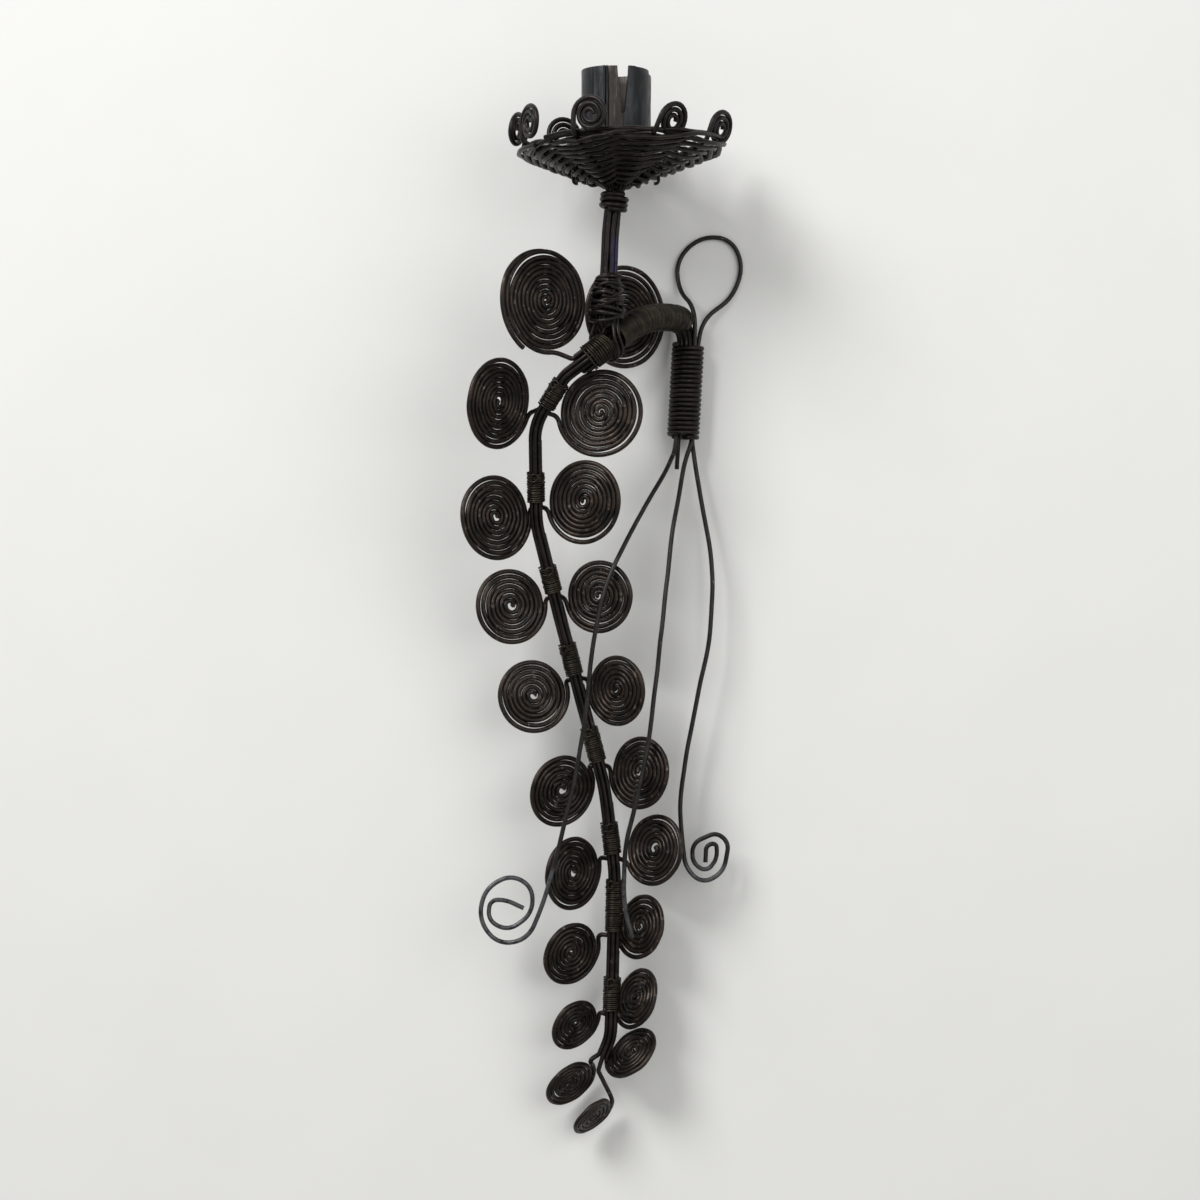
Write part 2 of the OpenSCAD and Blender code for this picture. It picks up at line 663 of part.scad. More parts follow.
module root_leaf(side) {
    spec = side == 1 ? left_leaves[0] : right_leaves[0];
    slot = outer_ring[side == 1 ? left_leaf_slot : right_leaf_slot];
    run = beside(from_height(side == 1 ? foot_inset : loop_grip, root_index), spine_n, slot);
    leaf(side, spec, run, run[root_index] + (exit_gap + exit_r) * run_out(spine, root_index - 1));
}

// The middle wire of the vine goes on alone to the leaf at the tip
module end_leaf() {
    n = len(spine);
    leaf(1, tip_leaf, [spine[n - 3] + lay_gap * run_in(spine, n - 2), spine[n - 2],
        (vine[8] + vine_end) / 2, vine_end, (vine_end + tip_points[0]) / 2], tip_points[0]);
}

candle_shell();
candle_sleeve();
cup_hooks();
pan_weave();
stem_core();
neck_collar();
stem_knot();
stem_ties();
rib(0);  // rib_1
rib(1);  // rib_2
rib(2);  // rib_3
rib(3);  // rib_4
rib(4);  // rib_5
rib(5);  // rib_6
rib(6);  // rib_7
rib(7);  // rib_8
spine_wires();
arm_packing();
arm_wrap();
root_wrap();
hanger_wrap();
hanging_loop();
tendril(0, left_tendril_points);  // left_tendril
tendril(1, middle_tendril_points);  // middle_tendril
tendril(2, right_tendril_points);  // right_tendril
binding(0);  // binding_2
binding(1);  // binding_3
binding(2);  // binding_4
binding(3);  // binding_5
binding(4);  // binding_6
binding(5);  // binding_7
binding(6);  // binding_8
binding(7);  // binding_9
root_leaf(1);  // left_leaf_1
vine_leaf(1, 0);  // left_leaf_2
vine_leaf(1, 1);  // left_leaf_3
vine_leaf(1, 2);  // left_leaf_4
vine_leaf(1, 3);  // left_leaf_5
vine_leaf(1, 4);  // left_leaf_6
vine_leaf(1, 5);  // left_leaf_7
vine_leaf(1, 6);  // left_leaf_8
vine_leaf(1, 7);  // left_leaf_9
vine_leaf(1, 8);  // left_leaf_10
root_leaf(-1);  // right_leaf_1
vine_leaf(-1, 0);  // right_leaf_2
vine_leaf(-1, 1);  // right_leaf_3
vine_leaf(-1, 2);  // right_leaf_4
vine_leaf(-1, 3);  // right_leaf_5
vine_leaf(-1, 4);  // right_leaf_6
vine_leaf(-1, 5);  // right_leaf_7
vine_leaf(-1, 6);  // right_leaf_8
vine_leaf(-1, 7);  // right_leaf_9
vine_leaf(-1, 8);  // right_leaf_10
end_leaf();  // tip_leaf
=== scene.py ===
"""Wire vine wall sconce for one candle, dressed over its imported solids.

Everything but the candle cup is soft black wire, bent by hand and bound with fine wire. Sizes and
places are in millimetres, as on the bench, and become metres where a mesh is made. The origin is
where the nail bears inside the hanging loop, +Z is up and the viewer stands on the -Y side.
"""

import logging
import math
from dataclasses import dataclass, field
from enum import Enum

import bpy
from mathutils import Matrix, Vector, noise


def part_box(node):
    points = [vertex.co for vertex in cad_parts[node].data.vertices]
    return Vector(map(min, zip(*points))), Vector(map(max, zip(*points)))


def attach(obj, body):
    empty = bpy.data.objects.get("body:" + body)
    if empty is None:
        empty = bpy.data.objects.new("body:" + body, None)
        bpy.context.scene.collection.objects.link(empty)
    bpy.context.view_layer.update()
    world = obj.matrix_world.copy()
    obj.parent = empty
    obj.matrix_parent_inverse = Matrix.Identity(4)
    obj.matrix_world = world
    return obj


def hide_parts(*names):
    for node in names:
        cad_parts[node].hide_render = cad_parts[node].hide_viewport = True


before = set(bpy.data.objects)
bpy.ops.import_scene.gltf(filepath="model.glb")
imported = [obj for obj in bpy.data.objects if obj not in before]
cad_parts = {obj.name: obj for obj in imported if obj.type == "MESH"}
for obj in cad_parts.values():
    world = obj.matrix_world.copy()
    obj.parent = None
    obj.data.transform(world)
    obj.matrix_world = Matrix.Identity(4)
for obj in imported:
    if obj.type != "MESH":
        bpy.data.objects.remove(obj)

log = logging.getLogger("sconce")

MM = 0.001
BODY = "root"
UP = Vector((0, 0, 1))
FRONT = Vector((0, -1, 0))

WIRE = 1.7
FINE = 0.7
TIE = 1.2
LAY = 1.75
LAY_GAP = 0.05
BUNDLE_R = LAY + WIRE / 2
ARM_R = 2 * LAY + WIRE / 2
FINE_PITCH = 0.76
THICK_WIRE = 1.76
EXIT_GAP = 0.2
EXIT_R = 1.5
LOOP_GRIP = 18.5
PAN_X = -37
PAN_Y = -44
WINDING_STEPS = 22
BEND_STEP = 0.2
STRAY_RATE = 0.9
LIFT_RATE = 1.7
HAND_SEED = 7

Colour = tuple[float, float, float]
Point = tuple[float, ...]


class Slot(Enum):
    """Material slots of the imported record."""

    BLACK_WIRE = "black_wire"
    LEAF_WIRE = "leaf_wire"
    GREY_WIRE = "grey_wire"
    FINE_WIRE = "fine_wire"
    RUSTY_SHEET = "rusty_sheet"
    BLUE_GREY_SHEET = "blue_grey_sheet"


class Side(Enum):
    """Side of the vine that a leaf grows from, as the viewer sees it."""

    LEFT = 1
    RIGHT = -1


# Lines that wires follow


def turned(v: Vector, axis: Vector, degrees: float) -> Vector:
    """Returns a vector turned about a unit axis, by the right-hand rule."""
    return Matrix.Rotation(math.radians(degrees), 3, axis) @ v


def azimuth(degrees: float) -> Vector:
    """Returns the level unit vector at an angle from +X towards +Y."""
    return Vector((math.cos(math.radians(degrees)), math.sin(math.radians(degrees)), 0))


def hand_bent(points: list[Vector], amount: float, wave: float, seed: float) -> list[Vector]:
    """Returns a line that strays by up to an amount within a wave's length, as hand-bent wire does."""
    shift = Vector((17.3, -9.1, 5.7)) * seed
    return [p + amount * noise.noise_vector(p / wave + shift) for p in points]


def straight(a: Vector, b: Vector, step: float) -> list[Vector]:
    """Returns points from a to b, without a, no more than a step apart."""
    count = max(1, math.ceil((b - a).length / step))
    return [a.lerp(b, k / count) for k in range(1, count + 1)]


@dataclass
class BentPath:
    """A line of straights and round bends.

    The points are an anchor, a corner, an anchor and so on to the last anchor. A corner with four
    numbers carries its bend radius, and is otherwise bent as gently as its straights allow.
    """

    points: list[Vector]
    least_run: float = 0.2

    def at(self, i: int) -> Vector:
        """Returns the place of point i."""
        return self.points[i].to_3d()

    def run_in(self, i: int) -> Vector:
        """Returns the direction in which the line comes to point i."""
        return (self.at(i) - self.at(i - 1)).normalized()

    def run_out(self, i: int) -> Vector:
        """Returns the direction in which the line leaves point i."""
        return (self.at(i + 1) - self.at(i)).normalized()

    def bend_angle(self, i: int) -> float:
        """Returns the angle of the bend at corner i, in radians."""
        return self.run_in(i).angle(self.run_out(i))

    def bend_radius(self, i: int) -> float:
        """Works out the radius of a bend.

        Args:
            i: The number of the corner.

        Returns:
            The corner's own radius if it has one and it fits, or else the widest that fits.
        """
        before = (self.at(i) - self.at(i - 1)).length
        after = (self.at(i + 1) - self.at(i)).length
        widest = (min(before, after) - self.least_run) / max(1e-5, math.tan(self.bend_angle(i) / 2))
        return min(widest, self.points[i][3]) if len(self.points[i]) > 3 else widest

    def bend_run(self, i: int) -> float:
        """Returns how far from corner i its bend starts."""
        return self.bend_radius(i) * math.tan(self.bend_angle(i) / 2)

    def bend_start(self, i: int) -> Vector:
        """Returns the point where the bend at corner i starts."""
        return self.at(i) - self.run_in(i) * self.bend_run(i)

    def bend_end(self, i: int) -> Vector:
        """Returns the point where the bend at corner i ends."""
        return self.at(i) + self.run_out(i) * self.bend_run(i)

    def on_bend(self, i: int, angle: float) -> Vector:
        """Returns the point of the bend at corner i that lies at an angle past its start."""
        r, out = self.bend_radius(i), self.bend_out(i)
        turn = out * math.cos(angle) + self.run_in(i) * math.sin(angle)
        return self.bend_start(i) - out * r + r * turn

    def bend_out(self, i: int) -> Vector:
        """Finds which way a bend bulges.

        Args:
            i: The number of the corner.

        Returns:
            The unit vector from the centre of the bend to its start.
        """
        u = self.run_in(i)
        v = self.run_out(i)
        out = u * u.dot(v) - v
        return out.normalized() if out.length > 1e-6 else u.orthogonal().normalized()

    def carried(self, normal: Vector, i: int) -> Vector:
        """Carries a normal past a corner without twist.

        Args:
            normal: The normal of the line before the corner.
            i: The number of the corner.

        Returns:
            The normal of the line after it.
        """
        u = self.run_in(i)
        v = self.run_out(i)
        return normal - (u + v) * v.dot(normal) / (1 + u.dot(v))

    def carried_to(self, normal: Vector, i: int) -> Vector:
        """Carries a normal from the start of the line.

        Args:
            normal: The normal at the start.
            i: The last corner that it is carried past.

        Returns:
            The normal of the line after that corner.
        """
        for k in range(1, i + 1, 2):
            normal = self.carried(normal, k)
        return normal

    def beside(self, normal: Vector, offset: tuple[float, float]) -> "BentPath":
        """Lays a line beside this one.

        Args:
            normal: A unit vector across the start of the line.
            offset: The distances along the normal and square to it.

        Returns:
            The line, with bends that keep it beside this one.
        """
        laid = []
        for i, point in enumerate(self.points):
            if i % 2 == 0:
                heading = self.run_out(0) if i == 0 else self.run_in(i)
                laid.append(self.at(i) + offset[0] * normal + offset[1] * heading.cross(normal))
                continue
            u = self.run_in(i)
            across = offset[0] * normal + offset[1] * u.cross(normal)
            reach = across.dot(self.bend_out(i))
            corner = self.at(i) + across + u * reach * math.tan(self.bend_angle(i) / 2)
            laid.append(Vector((*corner, point[3] + reach)) if len(point) > 3 else corner)
            normal = self.carried(normal, i)
        return BentPath(laid, self.least_run)

    def line(self, step: float = 1.5) -> list[Vector]:
        """Samples the path.

        Args:
            step: The furthest that two points stand apart.

        Returns:
            The points, from the first anchor to the last.
        """
        points = [self.at(0)]
        for i in range(1, len(self.points) - 1, 2):
            points += straight(points[-1], self.bend_start(i), step)
            angle = self.bend_angle(i)
            count = max(1, math.ceil(max(self.bend_radius(i) * angle / step, angle / BEND_STEP)))
            points += [self.on_bend(i, angle * k / count) for k in range(1, count + 1)]
        points += straight(points[-1], self.at(-1), step)
        return points

    def frame_at(self, distance: float, normal: Vector) -> tuple[Vector, Vector, Vector]:
        """Finds the line's own axes at a distance along it.

        Args:
            distance: How far along the line.
            normal: A unit vector across the start of the line.

        Returns:
            The point, the heading and the carried normal there.
        """
        left = distance
        for i in range(1, len(self.points) - 1, 2):
            u = self.run_in(i)
            v = self.run_out(i)
            run = self.bend_run(i)
            r = self.bend_radius(i)
            before = (self.at(i) - self.at(i - 1)).length - run
            after = (self.at(i + 1) - self.at(i)).length - run
            arc = r * self.bend_angle(i)
            last = i + 2 >= len(self.points)
            if left < before:
                return self.at(i - 1) + u * left, u, normal
            if left < before + arc:
                a = (left - before) / r
                heading = u * math.cos(a) - self.bend_out(i) * math.sin(a)
                part = normal - (u + heading) * heading.dot(normal) / (1 + u.dot(heading))
                return self.on_bend(i, a), heading, part
            normal = self.carried(normal, i)
            if left <= before + arc + after or last:
                return self.at(i) + v * (run + left - before - arc), v, normal
            left -= before + arc + after
        raise ValueError("the path has no corner")


def anchored(points: list[Vector]) -> BentPath:
    """Makes a path of corners only, with an anchor half way between each two.

    Args:
        points: The ends and the corners between them.

    Returns:
        The path.
    """
    laid = [points[0]]
    for i in range(1, len(points) - 2):
        laid += [points[i], (points[i].to_3d() + points[i + 1].to_3d()) / 2]
    return BentPath(laid + points[-2:])


def straight_path(a: Vector, b: Vector) -> BentPath:
    """Returns a path that runs straight from a to b."""
    return BentPath([a, (a + b) / 2, b])


def wound(path: BentPath, normal: Vector, start: float, turns: float, radius: float, pitch: float,
          slack: float, seed: float) -> list[Vector]:
    """Winds a line round a path.

    Args:
        path: The path to wind it round.
        normal: A unit vector across the start of the path.
        start: The distance along the path where it starts.
        turns: How many turns it makes.
        radius: The radius of the turns.
        pitch: The distance between the turns.
        slack: How far the turns stray from their place.
        seed: Number that makes each winding stray in its own way.

    Returns:
        The wound line.
    """
    points = []
    for k in range(round(turns * WINDING_STEPS) + 1):
        turn = k / WINDING_STEPS
        stray = noise.noise(Vector((turn * STRAY_RATE, seed, 0.5)))
        lift = noise.noise(Vector((turn * LIFT_RATE, seed, 7.5)))
        here, heading, across = path.frame_at(start + turn * pitch + slack * stray, normal)
        a = 2 * math.pi * turn
        r = radius + slack * max(0.0, lift)
        points.append(here + r * (math.cos(a) * across + math.sin(a) * heading.cross(across)))
    return points


# Wire work


@dataclass
class WireLine:
    """One length of wire: the line of its middle, in mm, and its thickness."""

    points: list[Vector]
    thickness: float = WIRE


def select_only(piece: bpy.types.Object | None) -> None:
    """Selects one object and nothing else.

    Args:
        piece: The object, or None for nothing at all.
    """
    for other in bpy.context.selected_objects:
        other.select_set(False)
    if piece is not None:
        piece.select_set(True)
        bpy.context.view_layer.objects.active = piece


def close_up(piece: bpy.types.Object, sharp: float = 50) -> None:
    """Merges a mesh's doubles, turns its faces outwards and smooths it.

    Args:
        piece: The object whose mesh is mended.
        sharp: The least angle of an edge that stays sharp, in degrees.
    """
    select_only(piece)
    bpy.ops.object.mode_set(mode="EDIT")
    bpy.ops.mesh.select_all(action="SELECT")
    bpy.ops.mesh.remove_doubles(threshold=1e-7)
    bpy.ops.mesh.normals_make_consistent(inside=False)
    bpy.ops.object.mode_set(mode="OBJECT")
    bpy.ops.object.shade_smooth_by_angle(angle=math.radians(sharp))


def bend_wires(name: str, wires: list[WireLine], sides: int) -> bpy.types.Object:
    """Bends wires to their lines and makes one mesh of them.

    Args:
        name: The name of the piece.
        wires: The wires.
        sides: Faces round each wire, an even number.

    Returns:
        The piece, closed and smooth.
    """
    select_only(None)
    bpy.ops.curve.primitive_bezier_curve_add()
    piece = bpy.context.object
    piece.name = name
    curve = piece.data
    curve.splines.clear()
    curve.dimensions = "3D"
    curve.bevel_depth = MM
    curve.bevel_resolution = (sides - 4) // 2
    curve.use_fill_caps = True
    for wire in wires:
        spline = curve.splines.new("POLY")
        spline.points.add(len(wire.points) - 1)
        spline.points.foreach_set("co", [c for p in wire.points for c in (*(p * MM), 1.0)])
        spline.points.foreach_set("radius", [wire.thickness / 2] * len(wire.points))
        spline.use_smooth = True
    bpy.ops.object.convert(target="MESH")
    piece = bpy.context.object
    piece.data.name = name
    close_up(piece)
    return piece


@dataclass(frozen=True)
class Finish:
    """A material, and the slot of the imported record that it is meant for."""

    material: bpy.types.Material
    slot: Slot


def fit(piece: bpy.types.Object, finish: Finish, node: str) -> None:
    """Dresses a piece and hangs it on the sconce in place of its plain solids.

    Args:
        piece: The finished piece.
        finish: The finish it gets.
        node: The node it stands for.
    """
    piece.data.materials.clear()
    piece.data.materials.append(finish.material)
    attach(piece, BODY)
    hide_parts(node)
    log.info("%s: %d faces", piece.name, len(piece.data.polygons))


def fit_wires(name: str, wires: list[WireLine], finish: Finish, node: str, sides: int = 10) -> None:
    """Bends wires to their lines and fits them as one piece."""
    fit(bend_wires(name, wires, sides), finish, node)


# Finishes


class Socket:
    """An output of a node, with the sums that can be done on it."""

    def __init__(self, shader: "Shader", source: bpy.types.NodeSocket) -> None:
        """Keeps the shader and the output it wraps."""
        self.shader = shader
        self.source = source

    def _sum(self, operation: str, a: "Socket | float", b: "Socket | float") -> "Socket":
        """Returns the result of a Math node."""
        return self.shader.add("ShaderNodeMath", {"operation": operation}, {0: a, 1: b})

    def __add__(self, other: "Socket | float") -> "Socket":
        """Returns self + other."""
        return self._sum("ADD", self, other)

    __radd__ = __add__

    def __mul__(self, other: "Socket | float") -> "Socket":
        """Returns self * other."""
        return self._sum("MULTIPLY", self, other)

    __rmul__ = __mul__

    def __rsub__(self, other: "Socket | float") -> "Socket":
        """Returns other - self."""
        return self._sum("SUBTRACT", other, self)


class Shader:
    """A material's node tree, with its principled shader."""

    def __init__(self, name: str) -> None:
        """Starts a material.

        Args:
            name: The name of the material.
        """
        self.material = bpy.data.materials.new(name)
        self.material.use_nodes = True
        self.nodes = self.material.node_tree.nodes
        self.links = self.material.node_tree.links
        self.surface = self.nodes["Principled BSDF"]

    def set(self, target: bpy.types.NodeSocket, value: "Socket | float | tuple") -> None:
        """Links a socket to the target, or sets its own value.

        Args:
            target: The input to feed.
            value: A socket, a number, a colour or a vector.
        """
        if isinstance(value, Socket):
            self.links.new(value.source, target)
        elif isinstance(value, tuple) and target.type == "RGBA":
            target.default_value = (*value, 1.0)[:4]
        else:
            target.default_value = value

    def add(self, kind: str, settings: dict | None = None, values: dict | None = None,
            output: int | str = 0) -> Socket:
        """Adds a node.

        Args:
            kind: The node's type.
            settings: Its settings.
            values: Values or links of its inputs, by index or name.
            output: The output that is wanted.

        Returns:
            That output.
        """
        node = self.nodes.new(kind)
        for key, value in (settings or {}).items():
            setattr(node, key, value)
        for key, value in (values or {}).items():
            self.set(node.inputs[key], value)
        return Socket(self, node.outputs[output])

    def place(self, stretch: tuple[float, float, float] = (1, 1, 1)) -> Socket:
        """Returns the object's own coordinates, stretched."""
        here = self.add("ShaderNodeTexCoord", output="Object")
        return self.add("ShaderNodeMapping", {}, {"Vector": here, "Scale": stretch})

    def cloud(self, place: Socket, size: float, detail: float = 4, rough: float = 0.55) -> Socket:
        """Returns soft noise, about 0.5, with blotches of a size in mm and finer layers in them."""
        values = {"Vector": place, "Scale": 1 / (size * MM), "Detail": detail, "Roughness": rough}
        return self.add("ShaderNodeTexNoise", {}, values)

    def between(self, value: Socket, low: float, high: float) -> Socket:
        """Returns a mask that rises smoothly from 0 at low to 1 at high."""
        values = {"Value": value, "From Min": low, "From Max": high}
        return self.add("ShaderNodeMapRange", {"interpolation_type": "SMOOTHSTEP"}, values)

    def mix(self, mask: "Socket | float", a: "Socket | Colour", b: "Socket | Colour") -> Socket:
        """Returns colour a where the mask is 0 and b where it is 1."""
        return self.add("ShaderNodeMix", {"data_type": "RGBA"}, {0: mask, 6: a, 7: b}, output=2)

    def bump(self, height: Socket, strength: float, depth: float) -> None:
        """Feeds a bump of a height from 0 to 1 and a depth in mm to the surface's normal."""
        values = {"Height": height, "Strength": strength, "Distance": depth * MM}
        self.set(self.surface.inputs["Normal"], self.add("ShaderNodeBump", {}, values))

    def finish(self, **values: "Socket | float | tuple") -> bpy.types.Material:
        """Feeds the surface and returns the material.

        Args:
            values: Inputs of the principled shader, with _ for a space.

        Returns:
            The finished material.
        """
        for key, value in values.items():
            self.set(self.surface.inputs[key.replace("_", " ")], value)
        return self.material


@dataclass(frozen=True)
class WireFinish:
    """Annealed iron wire: dark scale, browner where it is thin and bright where it is rubbed, with a
    painted sheen where set: colour on one region that stands for light falling there.
    """

    name: str
    slot: Slot
    scale: Colour
    brown: Colour
    rubbed: Colour
    blotch: float = 5.0
    blotch_edges: tuple[float, float] = (0.35, 0.68)
    rubbing: float = 0.62
    metal: float = 0.75
    smooth: float = 0.3
    rough: float = 0.52
    grain_size: float = 0.6
    grain_depth: float = 0.05
    grain_edges: tuple[float, float] = (0.45, 0.85)
    blotch_share: float = 0.3
    rub_size: float = 2.2
    rub_edge: float = 0.12
    rub_share: float = 0.7
    # Painted sheen: a colour laid on the wire right of a given x and below a given z, in patches, standing
    # for light that falls there.
    painted_sheen: Colour | None = None
    sheen_from_x: float = 0.0
    sheen_below_z: float = 0.0
    sheen_fade: tuple[float, float] = (2.5, 4)
    sheen_edges: tuple[float, float] = (0.3, 0.55)

    def make(self) -> Finish:
        """Builds the material.

        Returns:
            The finish.
        """
        shader = Shader(self.name)
        place = shader.place()
        blotches = shader.cloud(place, self.blotch)
        grain = shader.cloud(place, self.grain_size, detail=3, rough=0.7)
        rubs = shader.cloud(place, self.rub_size, detail=5, rough=0.65)
        body = shader.mix(shader.between(blotches, *self.blotch_edges), self.scale, self.brown)
        # Painted sheen: lightens or tints the wire right of a given x and below a given z, in patches, in
        # place of light from the lamps.
        if self.painted_sheen is not None:
            x = shader.add("ShaderNodeSeparateXYZ", {}, {"Vector": place}, output="X")
            z = shader.add("ShaderNodeSeparateXYZ", {}, {"Vector": place}, output="Z")
            edge = self.sheen_from_x * MM
            top = self.sheen_below_z * MM
            right = shader.between(x, edge, edge + self.sheen_fade[0] * MM)
            low = 1 - shader.between(z, top - self.sheen_fade[1] * MM, top)
            body = shader.mix(right * low * shader.between(rubs, *self.sheen_edges), body, self.painted_sheen)
        rub_mask = shader.between(rubs, self.rubbing, self.rubbing + self.rub_edge)
        colour = shader.mix(rub_mask * self.rub_share, body, self.rubbed)
        spread = self.rough - self.smooth
        dull = shader.between(grain + self.blotch_share * blotches, *self.grain_edges)
        roughness = self.smooth + spread * dull
        shader.bump(grain, 0.5, self.grain_depth)
        material = shader.finish(Base_Color=colour, Metallic=self.metal, Roughness=roughness)
        return Finish(material, self.slot)


@dataclass(frozen=True)
class SheetFinish:
    """Thin rolled sheet with marks that run up and down it."""

    name: str
    slot: Slot
    body: Colour
    streak: Colour
    stain: Colour
    stain_share: float = 0.6
    metal: float = 0.6
    smooth: float = 0.32
    rough: float = 0.6
    squash: float = 0.09
    streak_size: float = 1.1
    stain_size: float = 3.0
    stain_edge: float = 0.1
    grain_size: float = 0.5
    streak_edges: tuple[float, float] = (0.5, 0.68)
    rough_edges: tuple[float, float] = (0.6, 0.95)
    stain_weight: float = 0.5
    streak_height: float = 0.6
    relief: float = 0.08
    dulled: float = 0.8

    def make(self) -> Finish:
        """Builds the material.

        Returns:
            The finish.
        """
        shader = Shader(self.name)
        upright = shader.place((1, 1, self.squash))
        streaks = shader.cloud(upright, self.streak_size, detail=5, rough=0.62)
        place = shader.place()
        stains = shader.cloud(place, self.stain_size, detail=6, rough=0.7)
        grain = shader.cloud(place, self.grain_size, detail=3, rough=0.7)
        colour = shader.mix(shader.between(streaks, *self.streak_edges), self.body, self.streak)
        stained = shader.between(stains, self.stain_share, self.stain_share + self.stain_edge)
        colour = shader.mix(stained, colour, self.stain)
        spread = self.rough - self.smooth
        dull = shader.between(streaks + self.stain_weight * stains, *self.rough_edges)
        roughness = self.smooth + spread * dull
        height = self.streak_height * streaks + (1 - self.streak_height) * grain
        shader.bump(height, 0.35, self.relief)
        metal = self.metal * (1 - self.dulled * stained)
        material = shader.finish(Base_Color=colour, Metallic=metal, Roughness=roughness)
        return Finish(material, self.slot)


@dataclass(frozen=True)
class PlasterFinish:
    """A plain pale wall with the faint unevenness of paint."""

    name: str
    pale: Colour
    dim: Colour
    cloud_size: float = 60.0
    peel_size: float = 1.5

    def make(self) -> bpy.types.Material:
        """Builds the material.

        Returns:
            The finish as a material.
        """
        shader = Shader(self.name)
        clouds = shader.cloud(shader.place(), self.cloud_size, detail=3)
        orange_peel = shader.cloud(shader.place(), self.peel_size, detail=2)
        shader.bump(orange_peel, 0.05, 0.05)
        return shader.finish(Base_Color=shader.mix(clouds, self.pale, self.dim), Roughness=0.9)


@dataclass
class Finishes:
    """The finishes of the sconce, each made once."""

    black: Finish = field(default_factory=WireFinish(
        "black_annealed_wire", Slot.BLACK_WIRE,
        (0.009, 0.0075, 0.007), (0.021, 0.016, 0.013), (0.13, 0.11, 0.095)).make)
    leaf: Finish = field(default_factory=WireFinish(
        "brown_leaf_wire", Slot.LEAF_WIRE,
        (0.013, 0.0105, 0.009), (0.034, 0.024, 0.018), (0.17, 0.14, 0.12),
        rubbing=0.58).make)
    # The grey wire has a painted highlight: the tendrils' coils below z -231 are painted a lighter grey.
    grey: Finish = field(default_factory=WireFinish(
        "dark_grey_wire", Slot.GREY_WIRE,
        (0.017, 0.0165, 0.016), (0.03, 0.027, 0.025), (0.18, 0.17, 0.16),
        painted_sheen=(0.08, 0.082, 0.087), sheen_from_x=-200, sheen_below_z=-231).make)
    fine: Finish = field(default_factory=WireFinish(
        "olive_fine_wire", Slot.FINE_WIRE,
        (0.014, 0.012, 0.0085), (0.036, 0.029, 0.019), (0.15, 0.13, 0.1),
        blotch=3.0, grain_depth=0.02).make)
    # The stem wire is black with a painted violet sheen, a painted reflection on its right side below z -3.
    stem: Finish = field(default_factory=WireFinish(
        "stem_wire_violet_sheen", Slot.BLACK_WIRE,
        (0.009, 0.0078, 0.008), (0.02, 0.015, 0.014), (0.13, 0.115, 0.11),
        painted_sheen=(0.022, 0.02, 0.055), sheen_from_x=-39.6, sheen_below_z=-3).make)
    rusty: Finish = field(default_factory=SheetFinish(
        "rusty_sheet", Slot.RUSTY_SHEET,
        (0.018, 0.013, 0.01), (0.075, 0.062, 0.052), (0.012, 0.009, 0.007),
        stain_share=0.5, metal=0.4, smooth=0.4, rough=0.75).make)
    blue_grey: Finish = field(default_factory=SheetFinish(
        "blue_grey_sheet", Slot.BLUE_GREY_SHEET,
        (0.014, 0.0155, 0.018), (0.045, 0.048, 0.053), (0.008, 0.0075, 0.007),
        stain_share=0.62).make)


# The bundle of wires that runs from the hanger over the arm and down the vine


